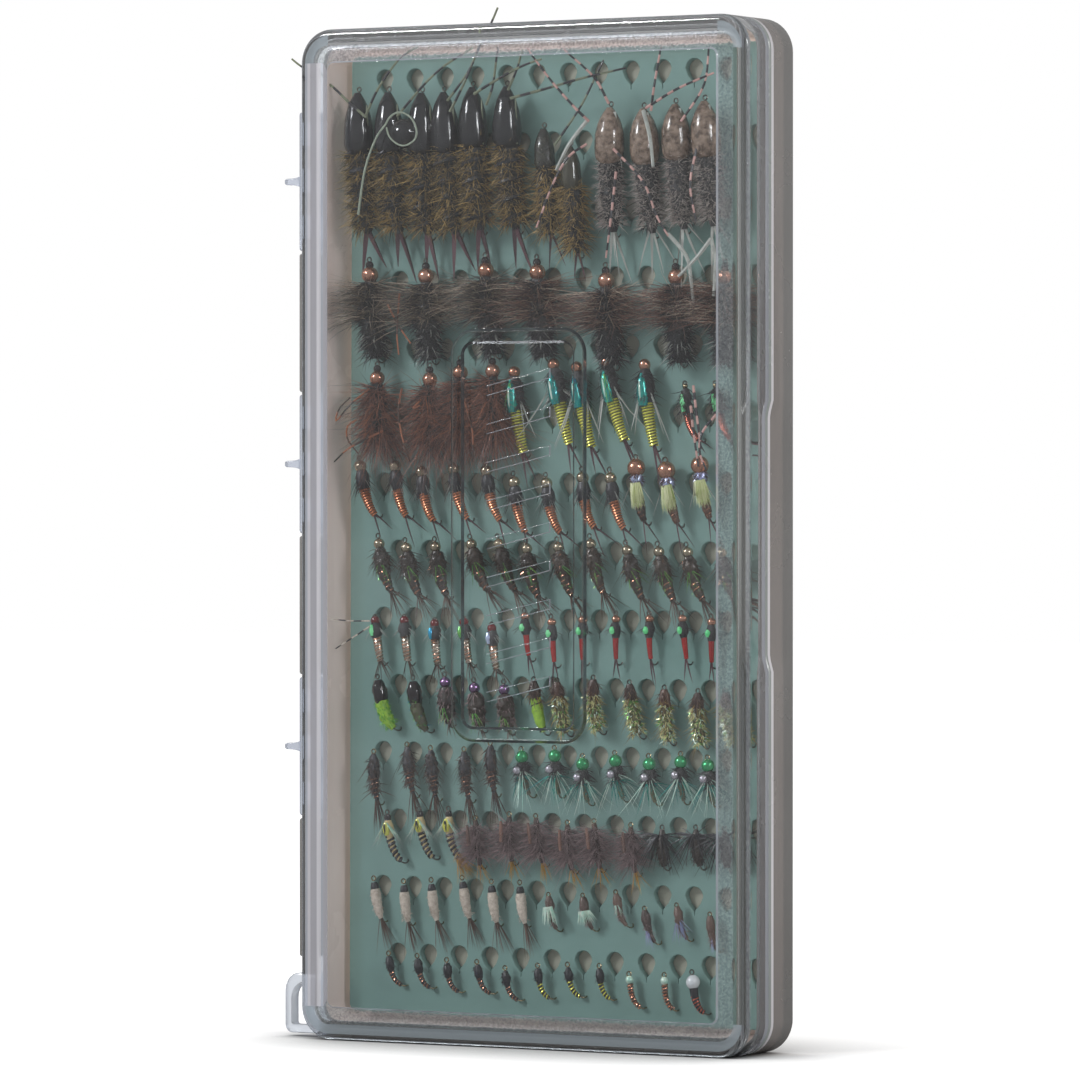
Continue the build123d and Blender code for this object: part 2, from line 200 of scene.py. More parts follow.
def moulding_grain_group() -> bpy.types.NodeTree:
    """Makes the fine grain, faint haze and handling marks of a moulded plastic surface.

    Returns:
        The group.
    """
    graph, source, sink = new_group(
        "moulding_grain",
        {"Grain Scale": 2500.0, "Smooth Roughness": 0.03, "Grainy Roughness": 0.12},
        ("Roughness", "Height", "Mask"),
    )
    given = source.outputs
    place = graph.add("TexCoord").outputs["Object"]
    grain = graph.add("TexNoise", Vector=place, Scale=given["Grain Scale"], Detail=2.0, Roughness=0.5)
    patches = graph.add("TexNoise", Vector=place, Scale=60.0, Detail=4.0, Roughness=0.6).outputs["Fac"]
    marks = graph.add("MapRange", clamp=True, Value=patches, From_Min=0.45, From_Max=0.75).outputs["Result"]
    rough = graph.mixed("FLOAT", marks, given["Smooth Roughness"], given["Grainy Roughness"])
    graph.feed(sink, Roughness=rough, Height=grain.outputs["Fac"], Mask=marks)
    return graph.tree


class Effect(Enum):
    """The shader groups that several finishes share, by name."""

    STRANDS = "strand_variation"
    GRAIN = "moulding_grain"


EFFECT_MAKERS: dict[Effect, Callable[[], bpy.types.NodeTree]] = {
    Effect.STRANDS: strand_variation_group,
    Effect.GRAIN: moulding_grain_group,
}


# Finishes

MOULDED_GRAIN = 2500.0
POLYCARBONATE_IOR = 1.58


class MaterialGraph(Graph):
    """A material's tree with its Principled shader."""

    def __init__(self, name: str) -> None:
        """Makes a material under a name."""
        self.material = bpy.data.materials.new(name)
        self.material.use_nodes = True
        super().__init__(self.material.node_tree)
        self.shader = self.tree.nodes["Principled BSDF"]

    def shade(self, **values: object) -> None:
        """Feeds the shader's inputs."""
        self.feed(self.shader, **values)

    def effect(self, effect: Effect, **values: object) -> bpy.types.bpy_prop_collection:
        """Puts an effect's group into the tree, and returns its outputs."""
        group = bpy.data.node_groups.get(effect.value) or EFFECT_MAKERS[effect]()
        return self.add("Group", node_tree=group, **values).outputs

    def mottle(self, base: Colour, second: Colour, scale: float, share: float = 0.0) -> Socket:
        """Feeds the shader's colour with a mottle that partly follows the strands, and returns its height."""
        effect = self.effect(Effect.STRANDS, Base=base, Second=second, Strand_Share=share, Mottle_Scale=scale)
        self.shade(Base_Color=effect["Color"])
        return effect["Height"]

    def grain(self, smooth: float, grainy: float) -> Socket:
        """Feeds the shader's roughness with the moulded grain, and returns the grain's height."""
        values = {"Grain_Scale": MOULDED_GRAIN, "Smooth_Roughness": smooth, "Grainy_Roughness": grainy}
        effect = self.effect(Effect.GRAIN, **values)
        self.shade(Roughness=effect["Roughness"])
        return effect["Height"]

    def bump(self, height: Socket, strength: float, depth: float) -> None:
        """Feeds the shader's normal with bumps of a depth in millimetres."""
        bump = self.add("Bump", Strength=strength, Distance=depth * MM, Height=height)
        self.shade(Normal=bump.outputs["Normal"])

    def pass_light(self, shade: Colour) -> None:
        """Lets lamps and soft light reach through a plastic, filtered by a shade."""
        through = self.add("BsdfTransparent", Color=shade)
        path = self.add("LightPath").outputs
        passing = self.math("MAXIMUM", path["Is Shadow Ray"], path["Is Diffuse Ray"])
        self.finish("MixShader", "Material Output", passing, self.shader.outputs[0], through.outputs[0])


@dataclass(frozen=True)
class Finish:
    """A named finish. Each kind lays its own nodes."""

    name: str

    def lay(self, graph: MaterialGraph) -> None:
        """Lays the material's nodes."""

    def material(self) -> bpy.types.Material:
        """Finds the finish's material, or makes it on first use.

        Returns:
            The material.
        """
        known = bpy.data.materials.get(self.name)
        if known:
            return known
        graph = MaterialGraph(self.name)
        self.lay(graph)
        return graph.material


@dataclass(frozen=True)
class Dressing(Finish):
    """An opaque finish of a fly's material, such as dubbing, thread, wire or a metal bead."""

    base: Colour
    second: Colour
    roughness: float = 0.6
    metallic: float = 0.0
    coat: float = 0.0
    share: float = 0.6
    mottle: float = 900.0
    bumps: float = 0.2
    bump_depth: float = 0.05

    def lay(self, graph: MaterialGraph) -> None:
        """Lays the strands' colours, bumps and gloss."""
        graph.bump(graph.mottle(self.base, self.second, self.mottle, self.share), self.bumps, self.bump_depth)
        graph.shade(Roughness=self.roughness, Metallic=self.metallic, Coat_Weight=self.coat)


@dataclass(frozen=True)
class ClearPlastic(Finish):
    """Polycarbonate that light passes, with its grain. Light from lamps reaches through it."""

    tint: Colour
    shade: Colour
    smooth: float = 0.02
    grainy: float = 0.03
    bumps: float = 0.0
    bump_depth: float = 0.05
    clearness: float = 1.0
    speckle: Colour | None = None

    def lay(self, graph: MaterialGraph) -> None:
        """Lays the grain, the tint with its flecks, and the way through for light."""
        graph.bump(graph.grain(self.smooth, self.grainy), self.bumps, self.bump_depth)
        graph.shade(Base_Color=self.tint, IOR=POLYCARBONATE_IOR, Transmission_Weight=self.clearness)
        if self.speckle:
            graph.mottle(self.tint, self.speckle, MOULDED_GRAIN)
        graph.pass_light(self.shade)


@dataclass(frozen=True)
class Silicone(Finish):
    """The mat's soft matte silicone, faintly mottled."""

    base: Colour
    second: Colour
    smooth: float = 0.55
    grainy: float = 0.7
    mottle: float = 35.0
    bumps: float = 0.15
    bump_depth: float = 0.03

    def lay(self, graph: MaterialGraph) -> None:
        """Lays the mottle and the grain."""
        graph.mottle(self.base, self.second, self.mottle)
        graph.bump(graph.grain(self.smooth, self.grainy), self.bumps, self.bump_depth)


@dataclass(frozen=True)
class SmokePlastic(Silicone):
    """Cloudy smoke-grey polycarbonate: part of the light passes, and the rest scatters in it."""

    smooth: float = 0.22
    grainy: float = 0.35
    mottle: float = 25.0
    bumps: float = 0.1
    clearness: float = 0.1
    coat: float = 0.3
    coat_roughness: float = 0.1
    shade: Colour = (0.86, 0.82, 0.79)

    def lay(self, graph: MaterialGraph) -> None:
        """Lays the clouds, the grain, the gloss and the way through for light."""
        super().lay(graph)
        graph.shade(IOR=POLYCARBONATE_IOR, Transmission_Weight=self.clearness)
        graph.shade(Coat_Weight=self.coat, Coat_Roughness=self.coat_roughness)
        graph.pass_light(self.shade)


CLEAR_LID = ClearPlastic("clear_lid_plastic", (0.93, 0.945, 0.96), (0.86, 0.875, 0.89))
GRAINY_LID = ClearPlastic(
    "grainy_lid_plastic", (0.72, 0.77, 0.78), (0.86, 0.875, 0.89), smooth=0.1, grainy=0.2,
    bumps=0.5, clearness=0.86, speckle=(0.34, 0.36, 0.40),
)
# A lighter copy of the grainy plastic for the top border: painted light, as the top catches more light.
GRAIN_PAINTED_LIGHT = replace(GRAINY_LID, name="grain_painted_light_plastic", tint=(0.88, 0.90, 0.96), clearness=0.82)
# Frosted plastic for the lid's hinge parts, and as lighter lines on the rim, the window's slope and the grip
# bars' sides: there it is a painted highlight along those edges.
FROSTED_AND_HIGHLIGHT_LID = ClearPlastic(
    "frosted_and_highlight_lid_plastic", (0.58, 0.61, 0.68), (0.8, 0.82, 0.86), smooth=0.16, grainy=0.26, clearness=0.62
)
# A paler copy of the frosted plastic for the lanyard eye: painted light.
PALE_FROST_PAINTED_LIGHT = replace(FROSTED_AND_HIGHLIGHT_LID, name="pale_frost_painted_light_plastic", tint=(0.80, 0.83, 0.88))
# A darker blue-grey copy of the frosted plastic for the bottom border and the corners: painted shade.
BLUE_FROST_PAINTED_SHADE = replace(FROSTED_AND_HIGHLIGHT_LID, name="blue_frost_painted_shade_plastic", tint=(0.39, 0.45, 0.49))
# Milky and pale copies for the hinge side's border: painted light, lighter there because the white surround
# shows through.
MILKY_PAINTED_LIGHT_LID = ClearPlastic(
    "milky_painted_light_plastic", (0.36, 0.355, 0.385), (0.8, 0.79, 0.82), smooth=0.16, grainy=0.26, clearness=0.36
)
PALE_PAINTED_LIGHT_LID = replace(MILKY_PAINTED_LIGHT_LID, name="pale_painted_light_plastic", tint=(0.54, 0.53, 0.565))
# A darker copy for the opening side's border and a frame line: painted shade, as the dark tray shows through
# there.
PAINTED_SHADE_LID = ClearPlastic(
    "painted_shade_lid_plastic", (0.40, 0.42, 0.40), (0.8, 0.8, 0.8), smooth=0.1, grainy=0.2, clearness=0.92
)
# Nearly black plastic for the plaque frame's slopes: painted shade lines where the frame's edges refract
# dark.
PAINTED_SHADE_LINE = ClearPlastic(
    "painted_shade_line_plastic", (0.10, 0.11, 0.12), (0.6, 0.6, 0.6), smooth=0.1, grainy=0.14, clearness=0.8
)
LID_FINISHES = (
    CLEAR_LID, GRAINY_LID, FROSTED_AND_HIGHLIGHT_LID, PAINTED_SHADE_LINE, MILKY_PAINTED_LIGHT_LID, GRAIN_PAINTED_LIGHT, PAINTED_SHADE_LID, PALE_PAINTED_LIGHT_LID, BLUE_FROST_PAINTED_SHADE
)
SMOKE_TRAY = SmokePlastic("smoke_tray_plastic", (0.205, 0.20, 0.195), (0.185, 0.18, 0.175), clearness=0.2)
# A much lighter, pinkish beige copy of the smoke plastic for the tray's inside walls and floor: painted
# light, as the inside looks lit.
LIT_TRAY_INSIDE = SmokePlastic("lit_tray_inside_plastic", (0.99, 0.80, 0.73), (0.90, 0.71, 0.64), clearness=0.0)
TRAY_LIP = SmokePlastic("tray_lip_plastic", (0.27, 0.30, 0.29), (0.24, 0.27, 0.26))
# A light grey copy for the step just behind the parting line: a painted highlight line.
TRAY_STEP_HIGHLIGHT = SmokePlastic("tray_step_highlight_plastic", (0.66, 0.65, 0.68), (0.58, 0.57, 0.60))
TRAY_FINISHES = (SMOKE_TRAY, LIT_TRAY_INSIDE, TRAY_LIP, TRAY_STEP_HIGHLIGHT)
CLEAR_PIN = ClearPlastic("clear_pin_plastic", (0.9, 0.92, 0.94), (0.9, 0.9, 0.9), clearness=0.8)
SAGE_SILICONE = Silicone("sage_silicone", (0.165, 0.28, 0.25), (0.15, 0.26, 0.23))
# The beige of the mat's lower layer is painted light: it stands in for the lit tray floor seen through the
# holes.
LIT_MAT_BACKING = Silicone("mat_backing_painted_light", (0.40, 0.38, 0.30), (0.34, 0.33, 0.26))


# Mesh building


def mm(x: float, y: float, z: float) -> Vector:
    """A point given in millimetres, in the scene's metres."""
    return Vector((x * MM, y * MM, z * MM))


def arc(x: float, z: float, radius: float, start: float, steps: int) -> list[tuple[float, float]]:
    """Draws a quarter of a circle about X and Z, and returns its points' X and Z."""
    turns = [radians(start + 90 * step / steps) for step in range(steps + 1)]
    return [(x + radius * cos(turn), z + radius * sin(turn)) for turn in turns]


def rounding(radius: float, steps: int) -> list[tuple[float, float]]:
    """How far a rounded edge has come from its first side, and has to go to its second, at each step."""
    turns = [RIGHT_ANGLE * step / steps for step in range(steps + 1)]
    return [(radius * (1 - cos(turn)), radius * (1 - sin(turn))) for turn in turns]


def place_object(name: str, data: bpy.types.ID) -> Piece:
    """Makes an object from its mesh, light or camera, and puts it into the scene."""
    made = bpy.data.objects.new(name, data)
    bpy.context.scene.collection.objects.link(made)
    return made


class MeshBuilder:
    """Collects the points and faces of one piece and makes its object."""

    def __init__(self, name: str) -> None:
        """Starts an empty piece under its name."""
        self.name = name
        self.points: list[Vector] = []
        self.faces: list[tuple[int, ...]] = []
        self.face_finishes: dict[int, int] = {}

    def ring(self, points: Iterable[Vector]) -> range:
        """Adds a ring of points and returns where they are in the list."""
        start = len(self.points)
        self.points.extend(points)
        return range(start, len(self.points))

    def loft(self, rings: Sequence[Ring], caps: bool = True, closed: bool = False) -> None:
        """Joins closed rings of the same number of points, one after the other.

        Args:
            rings: The rings, all turning the same way.
            caps: Whether the first and last ring are closed with a face.
            closed: Whether the last ring is joined to the first instead.
        """
        placed = [self.ring(points) for points in rings]
        if closed:
            placed.append(placed[0])
        count = len(rings[0])
        for lower, upper in zip(placed, placed[1:]):
            for index in range(count):
                after = (index + 1) % count
                self.faces.append((lower[index], lower[after], upper[after], upper[index]))
        if caps and not closed:
            self.faces.append(tuple(reversed(placed[0])))
            self.faces.append(tuple(placed[-1]))

    def use_finish(self, faces: Iterable[int], index: int) -> None:
        """Gives some faces another of the piece's finishes."""
        self.face_finishes.update((face, index) for face in faces)

    def build(self, *dress: object) -> Piece:
        """Makes the object, dresses it and ties it to its body.

        Args:
            dress: What finish_piece needs besides the mesh.

        Returns:
            The new object.
        """
        mesh = bpy.data.meshes.new(self.name)
        mesh.from_pydata([tuple(point) for point in self.points], [], self.faces)
        for face, index in self.face_finishes.items():
            mesh.polygons[face].material_index = index
        tidy = bmesh.new()
        tidy.from_mesh(mesh)
        bmesh.ops.recalc_face_normals(tidy, faces=tidy.faces)
        tidy.to_mesh(mesh)
        tidy.free()
        return finish_piece(mesh, *dress)


def finish_piece(
    mesh: bpy.types.Mesh, finishes: Sequence[Finish], body: str, slot: str, smooth_angle: float = 35.0
) -> Piece:
    """Makes a piece from its mesh, and ties it to its body.

    Args:
        mesh: The mesh, under the piece's name.
        finishes: The finishes whose materials it gets, the main one first.
        body: The body that it rides on.
        slot: The record's material slot; not used.
        smooth_angle: Edges sharper than this, in degrees, stay sharp.

    Returns:
        The new object.
    """
    mesh.shade_smooth()
    mesh.set_sharp_from_angle(angle=radians(smooth_angle))
    for finish in finishes:
        mesh.materials.append(finish.material())
    piece = place_object(mesh.name, mesh)
    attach(piece, body)
    log.info("%s: %d faces on %s", piece.name, len(mesh.polygons), body)
    return piece


# The case

EDGE_ANGLE = 32.0
EDGE_WIDTH = 0.1


@dataclass
class CaseOutline:
    """The case's outline seen from the front, as a ring of points that can be drawn inwards."""

    corner: float = 6.0
    corner_steps: int = 12
    low: Vector = field(default_factory=lambda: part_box("base_tray")[0])
    high: Vector = field(default_factory=lambda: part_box("base_tray")[1])
    side_stations: tuple[float, ...] = ()

    @property
    def half_width(self) -> float:
        """Half of the case's width, in millimetres."""
        return self.high.x / MM

    @property
    def height(self) -> float:
        """The case's height, in millimetres."""
        return (self.high.z - self.low.z) / MM

    def ring(self, inset: float, y: float, corner: float | None = None) -> Ring:
        """The outline drawn in by an inset at a depth, with its corners' radius where they have their own."""
        corner = self.corner - inset if corner is None else corner
        return self.oblong(self.half_width - inset, self.height / 2 - inset, corner, y)

    def oblong(self, half_x: float, half_z: float, corner: float, y: float) -> Ring:
        """A rounded oblong about the case's middle.

        Args:
            half_x: Half of its width.
            half_z: Half of its height.
            corner: The radius of its corners.
            y: Its depth.

        Returns:
            As many points as the outline has.
        """
        middle = self.height / 2
        points = []
        corners = [(1, -1, -90), (1, 1, 0), (-1, 1, 90), (-1, -1, 180)]
        for side_x, side_z, start in corners:
            if start == 0:
                points.extend(mm(half_x, y, middle + station) for station in self.side_stations)
            x, z = side_x * (half_x - corner), middle + side_z * (half_z - corner)
            points.extend(mm(x, y, z) for x, z in arc(x, z, corner, start, self.corner_steps))
        return points

    def fillet(self, radius: float, steps: int, face: float, side: int) -> list[Ring]:
        """Rings from the wall over a rounded edge to a face; side is 1 where the wall lies behind it."""
        return [self.ring(inset, face + side * depth) for inset, depth in rounding(radius, steps)]


@dataclass
class Scallop:
    """The thumb hollow in the opening side, as a depth over the side wall."""

    length: float = 47.0
    width: float = 8.0
    taper: float = 4.0
    floor_width: float = 3.0
    depth: float = 0.7
    parting: float = -0.5
    end_steps: tuple[float, ...] = (0.0, 1.0, 2.0, 3.0, 4.0, 5.5)

    def stations(self) -> tuple[float, ...]:
        """Heights from the case's middle at which the side wall needs points."""
        ends = [self.length / 2 - step for step in self.end_steps]
        return tuple(sorted([-end for end in ends] + ends))

    def depths(self) -> tuple[float, ...]:
        """Distances from the parting line at which the side wall needs rings."""
        edge, floor = self.width / 2, self.floor_width / 2
        return (floor, (edge + floor) / 2, edge)

    def pressed(self, point: Vector, middle: float) -> Vector:
        """Pushes one point of the outside in by the hollow's depth there.

        Args:
            point: The point.
            middle: The height of the case's middle, in millimetres.

        Returns:
            The point in its new place.
        """
        if point.x < 0:
            return point
        across = self.width / 2 - abs(point.y / MM - self.parting)
        along = (self.length / 2 - abs(point.z / MM - middle)) * self.width / 2 / self.taper
        slope = self.depth / ((self.width - self.floor_width) / 2)
        sunk = min(self.depth, max(0.0, slope * min(across, along)))
        return Vector((point.x - sunk * MM, point.y, point.z))


@dataclass
class Shell:
    """What the lid and the tray share: the outline, the scallop, the rim and the parting line."""

    scallop: Scallop = field(default_factory=Scallop)
    case: CaseOutline = field(default_factory=CaseOutline)
    rim: float = 0.3
    parting: float = -0.5

    def __post_init__(self) -> None:
        """Gives the outline the points that the scallop needs."""
        self.case.side_stations = self.scallop.stations()

    def pressed(self, rings: list[Ring]) -> list[Ring]:
        """Rings of the outside with the scallop pressed in."""
        return [[self.scallop.pressed(point, self.case.height / 2) for point in ring] for ring in rings]

    def finish(self, builder: MeshBuilder, part: str, *dress: object) -> None:
        """Makes a shell's piece in the place of its CAD node, with softened edges."""
        shell = builder.build(*dress, EDGE_ANGLE)
        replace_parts(shell, part)
        soften_edges(shell, EDGE_WIDTH)


@dataclass
class LidShell(Shell):
    """The clear lid: border, raised window, framed plaque with grip bars, walls and rim."""

    wall: float = 2.2
    edge_fillet: float = 1.2
    fillet_steps: int = 8
    inner_round: float = 1.6
    inner_steps: int = 5
    border_width: float = 5.8
    border_lines: tuple[float, ...] = (1.7, 2.3, 2.9, 3.6, 4.5, 5.0)
    clear_bands: int = 3
    window_step: float = 0.35
    window_slope: float = 0.28
    window_corner: float = 1.5
    plaque_size: tuple[float, float] = (27.5, 72.6)
    plaque_corner: float = 4.6
    plaque_frame: float = 2.7
    plaque_step: float = 0.35
    frame_edge: float = 0.45
    frame_line: float = 0.22
    tongue_rise: float = 2.65
    rebate_inset: float = 1.45
    front: float = -9.0
    inner: float = -6.85
    bar_count: int = 9
    bar_size: tuple[float, float] = (13.0, 1.8)
    bar_slant: float = 3.0
    bar_rise: float = 0.2
    bar_bevel: float = 0.12

    def inside_rings(self) -> list[Ring]:
        """Makes the rings from the inner plane's edge down the inner wall and through the rebate.

        Returns:
            The rings.
        """
        curve = rounding(self.inner_round, self.inner_steps)
        steps = [(self.wall + inset, self.inner + depth) for depth, inset in curve]
        shoulder = self.parting - self.tongue_rise
        steps += [(self.wall, shoulder), (self.rebate_inset, shoulder), (self.rebate_inset, self.parting)]
        return [self.case.ring(inset, y) for inset, y in steps]

    def outside_rings(self) -> list[Ring]:
        """Makes the rings from the rim up the outer wall and over the front edge to the border.

        Returns:
            The rings, with the scallop pressed in.
        """
        case = self.case
        rings = [case.ring(self.rim, self.parting), case.ring(0, self.parting - self.rim)]
        rings += [case.ring(0, self.parting - depth) for depth in self.scallop.depths()]
        border = self.front + self.plaque_step + self.window_step
        rings += case.fillet(self.edge_fillet, self.fillet_steps, border, 1)
        return self.pressed(rings)

    def window_rings(self) -> list[Ring]:
        """Makes the border's grooves and inner edge, the raised window and the plaque's frame.

        Returns:
            The rings.
        """
        case = self.case
        window = self.front + self.plaque_step
        border = window + self.window_step
        half_x, half_z = self.plaque_size[0] / 2, self.plaque_size[1] / 2
        slope, frame = self.window_slope, self.plaque_frame
        steps = ((0, window), (self.frame_edge, self.front), (self.frame_edge + self.frame_line, self.front))
        rings = [case.ring(line, border) for line in self.border_lines]
        rings.append(case.ring(self.border_width, border, self.window_corner))
        rings.append(case.ring(self.border_width + slope, window, self.window_corner - slope))
        for inset, y in (*steps, *((frame - inset, y) for inset, y in reversed(steps))):
            corner = max(self.plaque_corner - inset, self.plaque_corner - frame)
            rings.append(case.oblong(half_x - inset, half_z - inset, corner, y))
        return rings

    def bar_ring(self, z: float, shrink: float, y: float) -> Ring:
        """One level of a slanted grip bar at a height and a depth, drawn in by a bevel."""
        half_length, half_width = self.bar_size[0] / 2 - shrink, self.bar_size[1] / 2 - shrink
        half_slant = self.bar_slant / 2
        corners = ((-1, -1), (1, -1), (1, 1), (-1, 1))
        return [mm(x * half_length, y, z + side * half_width + x * half_slant) for x, side in corners]

    def dress_bands(self, builder: MeshBuilder, around: int) -> None:
        """Gives the shell's bands, the faces between two rings, their finishes.

        Args:
            builder: The shell's mesh, just lofted.
            around: How many points a ring has.
        """
        grainy, frosted_highlight, dark, hinge_painted_light, bright, shaded, pale, blue = range(1, len(LID_FINISHES))
        rim = len(self.inside_rings())
        border = rim + len(self.outside_rings()) - 1
        fillet = range(border - self.fillet_steps, border)
        edge = border + self.clear_bands
        slope = border + len(self.border_lines) + 1
        turn = self.case.corner_steps
        opening = range(turn, turn + len(self.case.side_stations) + 1)
        top = opening.stop + turn
        hinge = top + turn + 1
        corners = set(range(around)) - {*opening, top, hinge, around - 1}
        dressed = [
            (fillet[:-3], range(around), grainy),
            # The rim and the window's slope get frosted bands: painted highlight lines.
            ((rim, rim + 1, slope), range(around), frosted_highlight),
            # The plaque frame's slope bands get darker and nearly black copies: painted shade lines.
            ((slope + 3,), range(around), shaded),
            ((slope + 2, slope + 6), range(around), dark),
            # The corners and the bottom border get the darker blue-grey copy: painted shade.
            (range(border, edge), (*corners, around - 1), blue),
            (range(edge, slope), range(around), grainy),
            # The top border gets the lighter copy of the grain: painted light.
            (range(edge, slope), (top,), bright),
            # The opening side's border gets the darker copy: painted shade.
            ((*fillet[-3:], *range(border, edge)), opening, shaded),
            # The hinge side's border gets milky, pale and frosted copies: painted light.
            (range(border, slope), (hinge,), hinge_painted_light),
            ((border + 1, border + 4), (hinge,), pale),
            ((border, border + 5), (hinge,), frosted_highlight),
        ]
        for bands, sides, finish in dressed:
            builder.use_finish([band * around + side for band in bands for side in sides], finish)

    def build_bars(self, builder: MeshBuilder) -> list[tuple[int, ...]]:
        """Builds the grip bars on the plaque.

        Args:
            builder: The shell's mesh.

        Returns:
            The loops of points at the bars' feet.
        """
        window = self.front + self.plaque_step
        pitch = (self.plaque_size[1] - 2 * self.plaque_frame) / (self.bar_count + 1)
        holes = []
        for index in range(self.bar_count):
            z = self.case.height / 2 + (index - (self.bar_count - 1) / 2) * pitch
            base = self.bar_ring(z, 0, window)
            start, sides = len(builder.points), len(builder.faces)
            builder.loft([base, self.bar_ring(z, self.bar_bevel, window - self.bar_rise)])
            # The bars' bevelled sides get the frosted plastic: painted highlight lines.
            builder.use_finish(range(sides, sides + len(base)), LID_FINISHES.index(FROSTED_AND_HIGHLIGHT_LID))
            builder.faces.pop(-2)
            holes.append(tuple(range(start, start + len(base))))
        return holes

    def build(self) -> None:
        """Builds the lid's shell."""
        builder = MeshBuilder("lid_shell")
        rings = self.inside_rings() + self.outside_rings() + self.window_rings()
        builder.loft(rings)
        recess = builder.faces.pop()
        self.dress_bands(builder, len(rings[0]))
        fill_around(builder, recess, self.build_bars(builder))
        self.finish(builder, "lid_cover", LID_FINISHES, LID, "clear_lid")


def fill_around(builder: MeshBuilder, outline: tuple[int, ...], holes: Sequence[tuple[int, ...]]) -> None:
    """Fills a flat outline with faces and leaves its holes open.

    Args:
        builder: The mesh that holds the points.
        outline: The outer loop's points.
        holes: The inner loops' points.
    """
    scratch = bmesh.new()
    index_of = {}
    for loop in (outline, *holes):
        corners = []
        for index in loop:
            corner = scratch.verts.new(builder.points[index])
            index_of[corner] = index
            corners.append(corner)
        for first, second in zip(corners, corners[1:] + corners[:1]):
            scratch.edges.new((first, second))
    bmesh.ops.triangle_fill(scratch, use_beauty=True, use_dissolve=False, edges=scratch.edges)
    for face in scratch.faces:
        builder.faces.append(tuple(index_of[corner] for corner in face.verts))
    scratch.free()


def soften_edges(piece: Piece, width: float) -> None:
    """Rounds a piece's sharp edges with a narrow bevel that catches the light.

    Args:
        piece: The piece.
        width: The bevel's width, in millimetres.
    """
    bevel = piece.modifiers.new("soft_edges", "BEVEL")
    bevel.width = width * MM
    bevel.segments = 2
    bevel.limit_method = "ANGLE"
    bevel.angle_limit = radians(EDGE_ANGLE)
    bevel.harden_normals = True


@dataclass
class TrayShell(Shell):
    """The smoke-tinted tray: floor, walls, rim and the tongue that enters the lid."""

    wall: float = 2.6
    floor: float = 6.7
    back: float = 9.0
    back_fillet: float = 1.2
    fillet_steps: int = 6
    tongue_rise: float = 2.5
    tongue_inset: float = 1.6
    floor_fillet: float = 0.4
    step: float = 0.65

    def build(self) -> None:
        """Builds the tray's shell."""
        case = self.case
        top = self.parting - self.tongue_rise
        inside = [
            case.ring(self.wall + self.floor_fillet, self.floor),
            case.ring(self.wall, self.floor - self.floor_fillet),
            case.ring(self.wall, top),
            case.ring(self.tongue_inset, top),
            case.ring(self.tongue_inset, self.parting),
        ]
        outside = [case.ring(self.rim, self.parting)]
        depths = (self.rim, self.step, *self.scallop.depths())
        outside += [case.ring(0, self.parting + depth) for depth in depths]
        outside += case.fillet(self.back_fillet, self.fillet_steps, self.back, -1)
        builder = MeshBuilder("tray_shell")
        builder.loft(inside + self.pressed(outside))
        around, rim = len(inside[0]), len(inside)
        # The inside faces take the lighter copy: painted light.
        builder.use_finish((*range(2 * around), len(builder.faces) - 2), TRAY_FINISHES.index(LIT_TRAY_INSIDE))
        builder.use_finish(range(rim * around, (rim + 2) * around), TRAY_FINISHES.index(TRAY_LIP))
        # The step band takes the light grey copy: painted highlight.
        builder.use_finish(range((rim + 2) * around, (rim + 3) * around), TRAY_FINISHES.index(TRAY_STEP_HIGHLIGHT))
        self.finish(builder, "base_tray", TRAY_FINISHES, TRAY, "tinted_tray")


# The hinge and the eye


